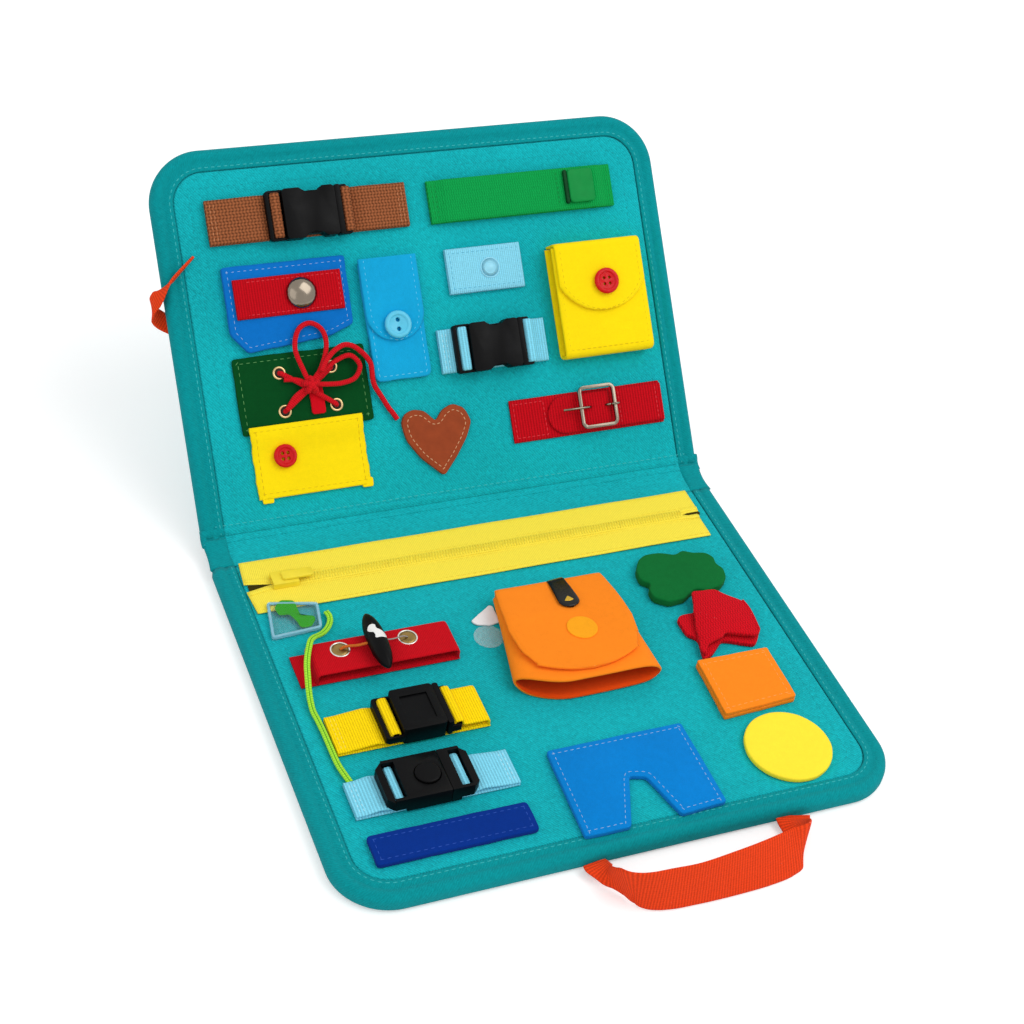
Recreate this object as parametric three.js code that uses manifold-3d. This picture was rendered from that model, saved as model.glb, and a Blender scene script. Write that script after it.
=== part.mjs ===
// A folding felt sensory board: two stiff felt panels joined by a soft spine, with buckles, pouches, a zip,
// a lacing card and hook-and-loop shapes to practise on. Millimetres, +Z up, +X along the fold.
// The origin is the middle of the lower panel's underside, and the lower panel lies flat.
import * as THREE from 'three';
import { mergeVertices } from 'three/addons/utils/BufferGeometryUtils.js';
import Module from 'manifold-3d';

const wasm = await Module();
wasm.setup();

// Driving dimensions of the two panels and the fold
const boardWidth = 300;
const lowerDepth = 234;
const upperDepth = 210;
const cornerRadius = 30;
const spineWidth = 19.8;
const spineTiltDegrees = 9.6;
const upperTiltDegrees = 47.4;

// Layers of a panel, and the clearances between pieces
const gap = 0.3;
const sheetThick = 1.7;
const stiffenerThick = 2.4;
const bindingThick = 1;
const bindingWidth = 12;
const bindingRound = 2;
const seamWidth = 2.5;
const groove = 0.6;
const spineThick = 6;
const stiffenerInset = 4;
const overrun = 5;

// Felt, webbing and hardware shared by several pieces
const felt = 1.6;
const webbing = 1.4;
const webWidth = 24;

const stackHeight = bindingThick + gap + sheetThick;
const panelThick = 2 * stackHeight + 2 * gap + stiffenerThick;
const radians = THREE.MathUtils.degToRad;

// Places of the pieces on the upper panel, as shares of its width and depth, counted from the fold's middle
const upperShares = {
  brown: [-0.2143, 0.805],
  green: [0.21, 0.802],
  pocket: [-0.277, 0.574],
  cyan: [-0.0807, 0.506],
  lacing: [-0.274, 0.3495],
  patch: [-0.28, 0.1735],
  heart: [-0.0295, 0.165],
  snapLoop: [0.1125, 0.611],
  sky: [0.106, 0.4],
  pouch: [0.3348, 0.4876],
  belt: [0.28, 0.186],
  sideLoop: [-0.5, 0.618],
};

// Places of the pieces on the lower panel, as shares of its width and depth, counted from its middle
const lowerShares = {
  zip: [-0.004, 0.4149],
  clearPocket: [-0.3965, 0.297],
  toggle: [-0.2883, 0.1355],
  yellow: [-0.2833, -0.064],
  push: [-0.2883, -0.2415],
  navy: [-0.2905, -0.378],
  orangePouch: [0.055, 0.0763],
  cloud: [0.3273, 0.2068],
  trunk: [0.338, 0.037],
  square: [0.323, -0.1487],
  circle: [0.3287, -0.344],
  trousers: [0.0397, -0.3415],
  handle: [0.0917, -0.5],
};

// Geometry helpers

const weldShare = 0.0003;

const bare = (geometry) => {
  const out = geometry.index ? geometry.toNonIndexed() : geometry.clone();
  for (const name of Object.keys(out.attributes)) {
    if (name !== 'position') {
      out.deleteAttribute(name);
    }
  }
  return out;
};

const toSolid = (geometry) => {
  const merged = mergeVertices(bare(geometry), gap * weldShare);
  const mesh = new wasm.Mesh({
    numProp: 3,
    vertProperties: new Float32Array(merged.attributes.position.array),
    triVerts: new Uint32Array(merged.index.array),
  });
  return new wasm.Manifold(mesh);
};

const toGeometry = (solid) => {
  const mesh = solid.getMesh();
  const out = new THREE.BufferGeometry();
  out.setAttribute('position', new THREE.BufferAttribute(new Float32Array(mesh.vertProperties), 3));
  out.setIndex(new THREE.BufferAttribute(new Uint32Array(mesh.triVerts), 1));
  return out;
};

// One body less the others
const cut = (body, ...tools) => {
  let out = toSolid(body);
  for (const tool of tools) {
    out = out.subtract(toSolid(tool));
  }
  return toGeometry(out);
};

// Several bodies fused into one
const fuse = (first, ...others) => {
  let out = toSolid(first);
  for (const other of others) {
    out = out.add(toSolid(other));
  }
  return toGeometry(out);
};

const vector = ([x, y]) => new THREE.Vector2(x, y);

const polygon = (points) => new THREE.Shape(points.map(vector));

// A rectangle with round corners, centred on the origin
const roundRect = (width, height, radius) => {
  const x = width / 2;
  const y = height / 2;
  const shape = new THREE.Shape();
  shape.moveTo(radius - x, -y);
  shape.lineTo(x - radius, -y);
  shape.absarc(x - radius, radius - y, radius, -Math.PI / 2, 0);
  shape.lineTo(x, y - radius);
  shape.absarc(x - radius, y - radius, radius, 0, Math.PI / 2);
  shape.lineTo(radius - x, y);
  shape.absarc(radius - x, y - radius, radius, Math.PI / 2, Math.PI);
  shape.lineTo(-x, radius - y);
  shape.absarc(radius - x, radius - y, radius, Math.PI, 1.5 * Math.PI);
  return shape;
};

const rectangle = (width, height) => polygon([
  [-width / 2, -height / 2],
  [width / 2, -height / 2],
  [width / 2, height / 2],
  [-width / 2, height / 2],
]);

const circle = (radius) => {
  const shape = new THREE.Shape();
  shape.absarc(0, 0, radius, 0, 2 * Math.PI);
  return shape;
};

// A flat plate of a shape in the XY plane, from its bottom upwards
const plate = (shape, thick, bottom = 0, curveSegments = 6) => {
  const out = new THREE.ExtrudeGeometry(shape, { depth: thick, bevelEnabled: false, curveSegments });
  return out.translate(0, 0, bottom);
};

// A side view drawn in X and Z, as wide as stated along Y and centred there
const sideView = (shape, width, curveSegments = 6) => {
  const out = new THREE.ExtrudeGeometry(shape, { depth: width, bevelEnabled: false, curveSegments });
  return out.translate(0, 0, -width / 2).rotateX(Math.PI / 2);
};

// A side view drawn in Y and Z, as long as stated along X and centred there
const endView = (shape, length, curveSegments = 6) => {
  const out = new THREE.ExtrudeGeometry(shape, { depth: length, bevelEnabled: false, curveSegments });
  return out.translate(0, 0, -length / 2).rotateX(Math.PI / 2).rotateZ(Math.PI / 2);
};

const box = (x, y, z, at) => new THREE.BoxGeometry(x, y, z).translate(...at);

// The closed outline of a line of points with a thickness, mitred at its bends
const thickLine = (points, thick) => {
  const path = points.map(vector);
  const left = [];
  const right = [];
  path.forEach((point, i) => {
    const before = path[Math.max(i - 1, 0)];
    const after = path[Math.min(i + 1, path.length - 1)];
    const entry = point.clone().sub(before).normalize();
    const exit = after.clone().sub(point).normalize();
    const along = entry.add(exit).normalize();
    const leg = i > 0 ? point.clone().sub(before).normalize() : along;
    const reach = thick / 2 / Math.max(along.dot(leg), Math.SQRT1_2);
    const side = new THREE.Vector2(-along.y, along.x).multiplyScalar(reach);
    left.push(point.clone().add(side));
    right.unshift(point.clone().sub(side));
  });
  return new THREE.Shape([...left, ...right]);
};

const signedVolume = (geometry) => {
  const at = geometry.attributes.position;
  const [a, b, c] = [new THREE.Vector3(), new THREE.Vector3(), new THREE.Vector3()];
  let sum = 0;
  for (let i = 0; i < at.count; i += 3) {
    a.fromBufferAttribute(at, i);
    b.fromBufferAttribute(at, i + 1);
    c.fromBufferAttribute(at, i + 2);
    sum += a.dot(b.cross(c));
  }
  return sum;
};

// A closed skin over a row of sections with equally many points each, capped at both ends
const loft = (sections, capFaces) => {
  const count = sections[0].length;
  const triangles = [];
  for (let s = 0; s + 1 < sections.length; s += 1) {
    for (let i = 0; i < count; i += 1) {
      const j = (i + 1) % count;
      const [a, b] = [sections[s][i], sections[s][j]];
      const [c, d] = [sections[s + 1][i], sections[s + 1][j]];
      triangles.push(a, b, d, a, d, c);
    }
  }
  const fan = Array.from({ length: count - 2 }, (_, i) => [0, i + 1, i + 2]);
  for (const [p, q, r] of capFaces ?? fan) {
    triangles.push(sections[0][p], sections[0][r], sections[0][q]);
    const last = sections[sections.length - 1];
    triangles.push(last[p], last[q], last[r]);
  }
  const out = new THREE.BufferGeometry().setFromPoints(triangles);
  if (signedVolume(out) < 0) {
    const at = out.attributes.position;
    for (let i = 0; i < at.count; i += 3) {
      const [b, c] = [i + 1, i + 2].map((k) => new THREE.Vector3().fromBufferAttribute(at, k));
      at.setXYZ(i + 1, c.x, c.y, c.z);
      at.setXYZ(i + 2, b.x, b.y, b.z);
    }
  }
  return out;
};

// A flat strap: each station gives its centre, the way its width runs, its width and its thickness
const ribbon = (stations) => {
  const centres = stations.map(({ at }) => new THREE.Vector3(...at));
  const sections = stations.map(({ across, width, thick }, i) => {
    const ahead = centres[Math.min(i + 1, centres.length - 1)];
    const along = ahead.clone().sub(centres[Math.max(i - 1, 0)]).normalize();
    const side = new THREE.Vector3(...across).normalize();
    side.addScaledVector(along, -side.dot(along)).normalize();
    const face = side.clone().cross(along).normalize();
    return [[-1, -1], [1, -1], [1, 1], [-1, 1]].map(([u, v]) => centres[i].clone()
      .addScaledVector(side, (u * width) / 2)
      .addScaledVector(face, (v * thick) / 2));
  });
  return loft(sections);
};

// A round cord along hand-placed points
const cord = (points, diameter, sides, steps) => {
  const path = new THREE.CatmullRomCurve3(points.map((p) => new THREE.Vector3(...p)), false, 'centripetal');
  const section = polygon(Array.from({ length: sides }, (_, i) => {
    const turn = (2 * Math.PI * i) / sides;
    return [(diameter / 2) * Math.cos(turn), (diameter / 2) * Math.sin(turn)];
  }));
  return new THREE.ExtrudeGeometry(section, { steps, bevelEnabled: false, extrudePath: path });
};

// A turned piece about the Z axis from a half profile of radius and height
const turned = (profile, segments) => {
  const lathe = new THREE.LatheGeometry(profile.map(vector), segments);
  return lathe.rotateX(Math.PI / 2);
};

const materials = new Map();

const material = (color, roughness, metalness = 0) => {
  const key = `${color} ${roughness} ${metalness}`;
  if (!materials.has(key)) {
    materials.set(key, new THREE.MeshStandardMaterial({ color, roughness, metalness }));
  }
  return materials.get(key);
};

const add = (parent, name, geometry, finish) => {
  const mesh = new THREE.Mesh(geometry, finish);
  mesh.name = name;
  parent.add(mesh);
  return mesh;
};

const finish = {
  teal: material('#12aeb6', 0.95),
  tealBinding: material('#00868c', 0.9),
  stiffener: material('#d8d4c8', 0.9),
  brown: material('#9a5a38', 0.85),
  green: material('#0c9a48', 0.8),
  darkGreen: material('#04461c', 0.95),
  cloudGreen: material('#0b6b38', 0.95),
  tagGreen: material('#3f9a28', 0.9),
  lime: material('#8fd83c', 0.7),
  blue: material('#0a6fc4', 0.95),
  navy: material('#04308a', 0.95),
  cyan: material('#14a4d8', 0.95),
  cyanPlastic: material('#5cc4e4', 0.35),
  sky: material('#7fd4ec', 0.85),
  red: material('#cc0c1c', 0.85),
  redPlastic: material('#d01a1c', 0.3),
  lace: material('#cc1420', 0.7),
  yellow: material('#f8d820', 0.95),
  zipYellow: material('#fbe64a', 0.8),
  orange: material('#f87c1a', 0.95),
  handle: material('#e8431a', 0.8),
  leather: material('#93401f', 0.6),
  black: material('#0e0e0f', 0.4),
  elastic: material('#c8702a', 0.6),
  clear: material('#9fdcec', 0.15),
  nickel: material('#b8b0a0', 0.25, 1),
  brass: material('#b08a50', 0.3, 1),
};

// The frames of the model: the lower face, the spine and the upper face

const board = new THREE.Group();
board.name = 'felt_sensory_board';

const lowerFace = new THREE.Group();
lowerFace.position.set(0, 0, panelThick);
board.add(lowerFace);

const spineFrame = new THREE.Group();
spineFrame.position.set(0, lowerDepth / 2, panelThick);
spineFrame.rotation.x = radians(spineTiltDegrees);
board.add(spineFrame);

const upperFace = new THREE.Group();
const spineTilt = radians(spineTiltDegrees);
upperFace.position.set(
  0,
  lowerDepth / 2 + spineWidth * Math.cos(spineTilt),
  panelThick + spineWidth * Math.sin(spineTilt),
);
upperFace.rotation.x = radians(upperTiltDegrees);
board.add(upperFace);

const onLower = ([xShare, yShare]) => {
  const place = new THREE.Group();
  place.position.set(xShare * boardWidth, yShare * lowerDepth, 0);
  lowerFace.add(place);
  return place;
};

const onUpper = ([xShare, yShare]) => {
  const place = new THREE.Group();
  place.position.set(xShare * boardWidth, yShare * upperDepth, 0);
  upperFace.add(place);
  return place;
};

// Panels: face at z 0, fold line along X at y 0, body towards +Y

// The outline of a panel shrunk by an inset, square at the fold and round at the far corners
const panelOutline = (depth, inset, foldInset) => {
  const x = boardWidth / 2 - inset;
  const far = depth - inset;
  const radius = cornerRadius - inset;
  const shape = new THREE.Shape();
  shape.moveTo(-x, foldInset);
  shape.lineTo(x, foldInset);
  shape.lineTo(x, far - radius);
  shape.absarc(x - radius, far - radius, radius, 0, Math.PI / 2);
  shape.lineTo(radius - x, far);
  shape.absarc(radius - x, far - radius, radius, Math.PI / 2, Math.PI);
  return shape;
};

const sheetInset = bindingThick + gap;
const fieldInset = bindingWidth + groove;
const foldGap = gap;

// The outer and the inner felt sheet, sewn together along the fold, each with a field level with the binding
const feltCover = (depth) => {
  const flange = panelOutline(depth, sheetInset, foldGap);
  const field = panelOutline(depth, fieldInset, foldGap);
  const legRoom = bindingThick + gap;
  const fieldThick = legRoom + sheetThick / 2;
  const innerTop = -legRoom;
  const outerBottom = legRoom - panelThick;
  const seam = box(
    boardWidth - 2 * sheetInset,
    seamWidth,
    innerTop - outerBottom,
    [0, foldGap + seamWidth / 2, (innerTop + outerBottom) / 2],
  );
  return fuse(
    plate(flange, sheetThick, innerTop - sheetThick),
    plate(field, fieldThick, -fieldThick),
    plate(flange, sheetThick, outerBottom),
    plate(field, fieldThick, -panelThick),
    seam,
  );
};

const stiffener = (depth) => {
  const shape = panelOutline(depth, sheetInset + stiffenerInset, stiffenerInset);
  return plate(shape, stiffenerThick, -panelThick + stackHeight + gap);
};

// The channel section of the edge binding: inwards from the edge, and up from the underside
const bindingProfile = () => {
  const arcSteps = 3;
  const top = panelThick;
  const arc = (cx, cz, from) => Array.from({ length: arcSteps + 1 }, (_, i) => {
    const turn = from - (i * Math.PI) / 2 / arcSteps;
    return [cx + bindingRound * Math.cos(turn), cz + bindingRound * Math.sin(turn)];
  });
  return [
    [bindingWidth, 0],
    ...arc(bindingRound, bindingRound, -Math.PI / 2),
    ...arc(bindingRound, top - bindingRound, Math.PI),
    [bindingWidth, top],
    [bindingWidth, top - bindingThick],
    [bindingThick, top - bindingThick],
    [bindingThick, bindingThick],
    [bindingWidth, bindingThick],
  ];
};

// The binding swept round the three free edges of a panel
const binding = (depth) => {
  const x = boardWidth / 2;
  const arcSteps = 7;
  const stations = [[x, foldGap, -1, 0]];
  const corner = (cx, from) => {
    for (let i = 0; i <= arcSteps; i += 1) {
      const turn = from + (i * Math.PI) / 2 / arcSteps;
      const [c, s] = [Math.cos(turn), Math.sin(turn)];
      stations.push([cx + cornerRadius * c, depth - cornerRadius + cornerRadius * s, -c, -s]);
    }
  };
  corner(x - cornerRadius, 0);
  corner(cornerRadius - x, Math.PI / 2);
  stations.push([-x, foldGap, 1, 0]);
  const profile = bindingProfile().reverse();
  const sections = stations.map(([px, py, nx, ny]) => profile.map(([inwards, up]) => new THREE.Vector3(
    px + nx * inwards,
    py + ny * inwards,
    up - panelThick,
  )));
  return loft(sections, THREE.ShapeUtils.triangulateShape(profile.map(vector), []));
};

const addPanel = (name, parent, depth) => {
  add(parent, `${name}_felt_cover`, feltCover(depth), finish.teal);
  add(parent, `${name}_stiffener`, stiffener(depth), finish.stiffener);
  add(parent, `${name}_binding`, binding(depth), finish.tealBinding);
};

// The lower panel runs from the fold towards the front
const lowerPanel = new THREE.Group();
lowerPanel.position.y = lowerDepth / 2;
lowerPanel.rotation.z = Math.PI;
lowerFace.add(lowerPanel);
addPanel('lower', lowerPanel, lowerDepth);
addPanel('upper', upperFace, upperDepth);

// The spine: a soft strip between the two fold lines
add(spineFrame, 'spine', plate(
  rectangle(boardWidth, spineWidth - 2 * foldGap),
  spineThick,
  -spineThick,
).translate(0, spineWidth / 2, 0), finish.tealBinding);

// Straps and side-release buckles

const strapSeam = 5;
const buckleWidth = 27.5;
const buckleRound = 2;
const slotWidth = 2.4;
const slotPlay = 0.5;
const barWidth = 2.2;
const outerBar = 2;
const barHeight = 4;
const barRaise = 2;
const shellWall = 1.6;
const prongBase = 3;
const prongInset = 0.6;
const armWidth = 4;
const scoopRadius = 9;
const scoopDepth = 3;

const seat = 2 * gap + webbing;
const lowLayer = gap + webbing / 2;
const highLayer = seat + webbing / 2;
const loopHigh = 5.5;
const slotLength = webWidth + 2 * slotPlay;
const armReachShare = 0.62;
const scoopShare = 0.45;

const brown = { length: 114.5, shell: 30, height: 9, mouthShare: 0.124 };
const sky = { length: 65, shell: 29.5, height: 9, mouthShare: 0.21 };
const yellow = { length: 80.3, shell: 23, height: 10, mouthShare: 0.2, plain: true };
const recess = { length: 14.5, width: 17, depth: 0.9 };

// The webbing from a sewn end over a bar and down beside it, as a line in X and Z
const overBar = (fromX, barX, width, top) => {
  const way = Math.sign(barX - fromX);
  const reach = width / 2 + gap + webbing / 2;
  const crest = top + gap + webbing / 2;
  return [
    [fromX, highLayer],
    [barX - way * reach, highLayer],
    [barX - way * reach, crest],
    [barX + way * reach, crest],
    [barX + way * reach, lowLayer],
  ];
};

// Where a strap's two layers are sewn together at one end
const endSeam = (end, length, width) => box(
  strapSeam,
  width,
  highLayer - lowLayer,
  [end * (length - strapSeam) / 2, 0, (highLayer + lowLayer) / 2],
);

// The same with the sewn end left out: the webbing turns down to the low layer in an open loop
const loopOver = (fromX, barX, width, top) => {
  const way = Math.sign(barX - fromX);
  const reach = width / 2 + gap + webbing / 2;
  const crest = top + gap + webbing / 2;
  return [
    [fromX + way * webbing / 2, lowLayer],
    [fromX + way * webbing / 2, loopHigh],
    [barX - way * reach, loopHigh],
    [barX - way * reach, crest],
    [barX + way * reach, crest],
    [barX + way * reach, lowLayer],
  ];
};

// One layer of webbing along the panel, and a second one from each end over a bar
const strap = (length, width, bars) => fuse(
  box(length, width, webbing, [0, 0, lowLayer]),
  ...bars.map(({ end, x, bar, top, loop }) => sideView(
    thickLine((loop ? loopOver : overBar)(end * length / 2, x, bar, top), webbing),
    width,
  )),
  ...bars.filter(({ loop }) => !loop).map(({ end }) => endSeam(end, length, width)),
);

const slot = (x) => box(slotWidth, slotLength, barHeight + overrun, [x, 0, barRaise + barHeight / 2]);

// The socket of a buckle: its mouth at x 0, its underside at z 0
const socket = ({ shell, height, plain }) => {
  const inner = buckleWidth - 2 * shellWall;
  const reach = shell * armReachShare + armWidth;
  const frameLength = 2 * slotWidth + barWidth + outerBar + buckleRound;
  const scoopX = -shell * scoopShare;
  const scoopY = buckleWidth / 2 + scoopRadius - scoopDepth;
  const shape = plate(roundRect(shell, buckleWidth, buckleRound), height, 0, 2).translate(-shell / 2, 0, 0);
  const frame = plate(roundRect(frameLength, buckleWidth, buckleRound), barHeight, barRaise, 2)
    .translate(buckleRound - shell - frameLength / 2, 0, 0);
  const frameBody = cut(frame, slot(-shell - slotWidth / 2), slot(-shell - 1.5 * slotWidth - barWidth));
  const scoop = plate(circle(scoopRadius), height + 2 * overrun, -overrun, 8);
  const scoops = plain ? [] : [-1, 1].map((side) => scoop.clone().translate(scoopX, side * scoopY, 0));
  const cavity = box(reach + overrun, inner, height - 2 * shellWall, [(overrun - reach) / 2, 0, height / 2]);
  return cut(fuse(shape, frameBody), cavity, ...scoops);
};

// The prong of a buckle: its base just outside the mouth, and its arms inside the socket
const prong = ({ shell, height }) => {
  const innerHalf = buckleWidth / 2 - shellWall - gap;
  const reach = shell * armReachShare;
  const armHeight = height - 2 * shellWall - 2 * gap;
  const frameLength = slotWidth + barWidth + buckleRound;
  const base = plate(roundRect(prongBase, buckleWidth, prongBase / 3), height - 2 * prongInset, prongInset, 2)
    .translate(gap + prongBase / 2, 0, 0);
  const frame = plate(roundRect(frameLength, buckleWidth, buckleRound / 2), barHeight, barRaise, 2)
    .translate(gap + prongBase - buckleRound + frameLength / 2, 0, 0);
  const arms = [-1, 1].map((side) => box(
    reach + gap + prongBase / 2,
    armWidth,
    armHeight,
    [(gap + prongBase / 2 - reach) / 2, side * (innerHalf - armWidth / 2), height / 2],
  ));
  return fuse(base, cut(frame, slot(gap + prongBase + slotWidth / 2)), ...arms);
};

const socketBar = ({ shell }) => -shell - slotWidth - barWidth / 2;
const prongBar = gap + prongBase + slotWidth + barWidth / 2;
const barTop = seat + barRaise + barHeight;

const addStrapBuckle = (name, place, sizes, strapFinish, buckleFinish, dent) => {
  const mouth = sizes.length * sizes.mouthShare;
  add(place, `${name}_strap`, strap(sizes.length, webWidth, [
    { end: -1, x: mouth + socketBar(sizes), bar: barWidth, top: barTop },
    { end: 1, x: mouth + prongBar, bar: barWidth, top: barTop, loop: sizes.plain },
  ]), strapFinish);
  const shell = dent ? cut(socket(sizes), dent) : socket(sizes);
  add(place, `${name}_buckle_socket`, shell.translate(mouth, 0, seat), buckleFinish);
  add(place, `${name}_buckle_prong`, prong(sizes).translate(mouth, 0, seat), buckleFinish);
};

addStrapBuckle('brown', onUpper(upperShares.brown), brown, finish.brown, finish.black);
addStrapBuckle('sky', onUpper(upperShares.sky), sky, finish.sky, finish.black);
addStrapBuckle('yellow', onLower(lowerShares.yellow), yellow, finish.yellow, finish.black, box(
  recess.length,
  recess.width,
  2 * recess.depth,
  [-yellow.shell / 2, 0, yellow.height],
));

// Green strap with a raised clasp

const green = { length: 113.4, width: 23.6, rise: 1.7, ramp: 5 };
const clasp = { length: 15.5, width: 19.3, height: 4.2, round: 2, alongShare: 0.315, asideShare: 0.04 };

const greenStrap = () => {
  const end = green.length / 2;
  const shoulder = end - strapSeam;
  const crown = highLayer + green.rise;
  const top = thickLine([
    [-end, highLayer],
    [-shoulder, highLayer],
    [green.ramp - shoulder, crown],
    [shoulder - green.ramp, crown],
    [shoulder, highLayer],
    [end, highLayer],
  ], webbing);
  return fuse(
    box(green.length, green.width, webbing, [0, 0, lowLayer]),
    sideView(top, green.width),
    endSeam(-1, green.length, green.width),
    endSeam(1, green.length, green.width),
    plate(roundRect(clasp.length, clasp.width, clasp.round), clasp.height, crown, 3)
      .translate(green.length * clasp.alongShare, green.width * clasp.asideShare, 0),
  );
};
add(onUpper(upperShares.green), 'green_strap', greenStrap(), finish.green);

// Felt pockets: one layer over a hollow, sewn down along three sides

const scaled = (shares, width, height) => shares.map(([x, y]) => [x * width, y * height]);
const pocketHollow = felt;
const pocketTop = gap + pocketHollow + felt;

const pocketBody = (outline, hollow) => cut(
  plate(outline, pocketTop - gap, gap),
  plate(hollow, pocketHollow + gap, 0),
);

const blue = { width: 70.4, height: 47.9, seam: 4 };
const blueShares = [[-0.5, 0.5], [-0.5, -0.27], [-0.38, -0.5], [0.3, -0.41], [0.49, -0.3], [0.5, 0.5]];
const blueHollowShares = [[-0.5, 0.5], [-0.5, -0.25], [-0.36, -0.44], [0.3, -0.36], [0.5, -0.25], [0.5, 0.5]];
const snapStrap = { length: 61.2, width: 21, alongShare: 0.002, asideShare: 0.113 };
const snap = { radius: 8.6, height: 4, rim: 1.2, alongShare: 0.098 };

const pocketPlace = onUpper(upperShares.pocket);
const blueInner = scaled(blueHollowShares, blue.width - 2 * blue.seam, blue.height);
blueInner[0][1] += overrun;
blueInner[blueInner.length - 1][1] += overrun;
add(pocketPlace, 'blue_pocket', pocketBody(
  polygon(scaled(blueShares, blue.width, blue.height)),
  polygon(blueInner),
), finish.blue);

const snapLevel = pocketTop + gap + webbing + gap;
const snapY = blue.height * snapStrap.asideShare;
add(pocketPlace, 'red_snap_strap', box(
  snapStrap.length,
  snapStrap.width,
  webbing,
  [blue.width * snapStrap.alongShare, snapY, pocketTop + gap + webbing / 2],
), finish.red);

const domeProfile = ({ radius, height, rim }) => [
  [0, 0],
  [radius, 0],
  [radius, rim],
  [radius * 0.82, (rim + height) / 2],
  [radius * 0.5, height - rim / 4],
  [0, height],
];
add(pocketPlace, 'snap_cap', turned(domeProfile(snap), 20)
  .translate(blue.width * snap.alongShare, snapY, snapLevel), finish.nickel);

// Cyan pocket with a buttoned flap

const cyan = { width: 33.4, height: 68.9, round: 8, seam: 3.5, flapLength: 47.3 };
const cyanButton = { radius: 7.8, height: 3, hole: 1.3, spread: 2.6, holes: 2, alongShare: -0.0585 };

// A flap hanging from y 0 downwards, straight at first and round at its end
const flapShape = (width, length, endRadius) => {
  const x = width / 2;
  const half = Math.min(Math.asin(x / endRadius), Math.PI / 2);
  const shape = new THREE.Shape();
  shape.moveTo(-x, 0);
  shape.lineTo(-endRadius * Math.sin(half), endRadius - length - endRadius * Math.cos(half));
  shape.absarc(0, endRadius - length, endRadius, -Math.PI / 2 - half, half - Math.PI / 2);
  shape.lineTo(x, 0);
  return shape;
};

// A flat button with sewing holes
const button = ({ radius, height, hole, spread, holes }) => {
  const bores = Array.from({ length: holes }, (_, i) => {
    const turn = (2 * Math.PI * (i + 0.5)) / holes;
    return plate(circle(hole), height + 2 * overrun, -overrun, 4)
      .translate(spread * Math.cos(turn), spread * Math.sin(turn), 0);
  });
  const body = turned([
    [0, 0],
    [radius * 0.9, 0],
    [radius, height / 3],
    [radius, height * 0.75],
    [radius * 0.9, height],
    [radius * 0.72, height],
    [radius * 0.64, height * 0.75],
    [0, height * 0.75],
  ], 20);
  return cut(body, ...bores);
};

const cyanPlace = onUpper(upperShares.cyan);
add(cyanPlace, 'cyan_pocket', pocketBody(
  roundRect(cyan.width, cyan.height, cyan.round),
  polygon([
    [cyan.seam - cyan.width / 2, cyan.height / 2 + overrun],
    [cyan.seam - cyan.width / 2, cyan.round - cyan.height / 2],
    [cyan.width / 2 - cyan.seam, cyan.round - cyan.height / 2],
    [cyan.width / 2 - cyan.seam, cyan.height / 2 + overrun],
  ]),
), finish.cyan);
add(cyanPlace, 'cyan_flap', plate(flapShape(cyan.width, cyan.flapLength, cyan.width / 2), felt, pocketTop + gap, 8)
  .translate(0, cyan.height / 2, 0), finish.cyan);
add(cyanPlace, 'cyan_button', button(cyanButton)
  .translate(0, cyan.height * cyanButton.alongShare, pocketTop + felt + 2 * gap), finish.cyanPlastic);

// Lacing card with four eyelet holes, its bow and the loose lace

const lacing = { width: 75.3, height: 42.7, hole: 2.4, spreadX: 14.8, spreadY: 10.65, asideShare: 0.033 };
const laceThick = 3;
const knot = { radius: 6, height: 4.5, x: 3.2, y: 1.6, z: 6.7 };
const tongue = { width: 8, length: 15, thick: 1.4, x: 6.5, y: -6.9 };
const upperLoop = [
  [-80, 77, 7], [-82, 84, 7], [-84, 98, 6], [-79, 109, 5.6], [-73, 107, 5.6], [-71, 98, 6],
  [-75, 84, 7], [-78, 77, 7],
];
const rightLoop = [
  [-77, 76, 7], [-72, 81, 7], [-62, 87, 6], [-54, 88.5, 6], [-49.5, 82, 6], [-53, 76, 6],
  [-61, 74, 6.2], [-76, 75, 7],
];
const laceLevel = 4;

const lacingPlace = onUpper(upperShares.lacing);
const eyeX = lacing.width * lacing.asideShare;
const eyes = [[-1, -1], [1, -1], [1, 1], [-1, 1]].map(([x, y]) => [
  eyeX + x * lacing.spreadX,
  y * lacing.spreadY,
]);
add(lacingPlace, 'lacing_patch', cut(
  plate(rectangle(lacing.width, lacing.height), felt, gap),
  ...eyes.map(([x, y]) => plate(circle(lacing.hole), felt + 2 * overrun, -overrun, 6).translate(x, y, 0)),
), finish.darkGreen);

// A lace straight across from one hole to the hole diagonally opposite
const crossLace = ([ax, ay], [bx, by]) => {
  const inward = (a, b, share) => a + (b - a) * share;
  return cord([
    [ax, ay, gap + laceThick / 3],
    [inward(ax, bx, 0.03), inward(ay, by, 0.03), laceLevel],
    [inward(ax, bx, 0.5), inward(ay, by, 0.5), laceLevel],
    [inward(ax, bx, 0.97), inward(ay, by, 0.97), laceLevel],
    [bx, by, gap + laceThick / 3],
  ], laceThick, 6, 12);
};
const fromUpper = (point) => {
  const [x, y, z] = point;
  return [x - upperShares.lacing[0] * boardWidth, y - upperShares.lacing[1] * upperDepth, z];
};
const bow = fuse(
  new THREE.SphereGeometry(1, 12, 8).scale(knot.radius, knot.radius, knot.height)
    .translate(knot.x, knot.y, knot.z),
  crossLace(eyes[0], eyes[2]),
  crossLace(eyes[1], eyes[3]),
  cord(upperLoop.map(fromUpper), laceThick, 6, 20),
  cord(rightLoop.map(fromUpper), laceThick, 6, 20),
  box(tongue.width, tongue.length, tongue.thick, [tongue.x, tongue.y, felt + 2 * gap + tongue.thick / 2]),
);
add(lacingPlace, 'lace_bow', bow, finish.lace);

// Yellow patch stepped over the edge of the lacing card, with a four-hole button

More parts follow.
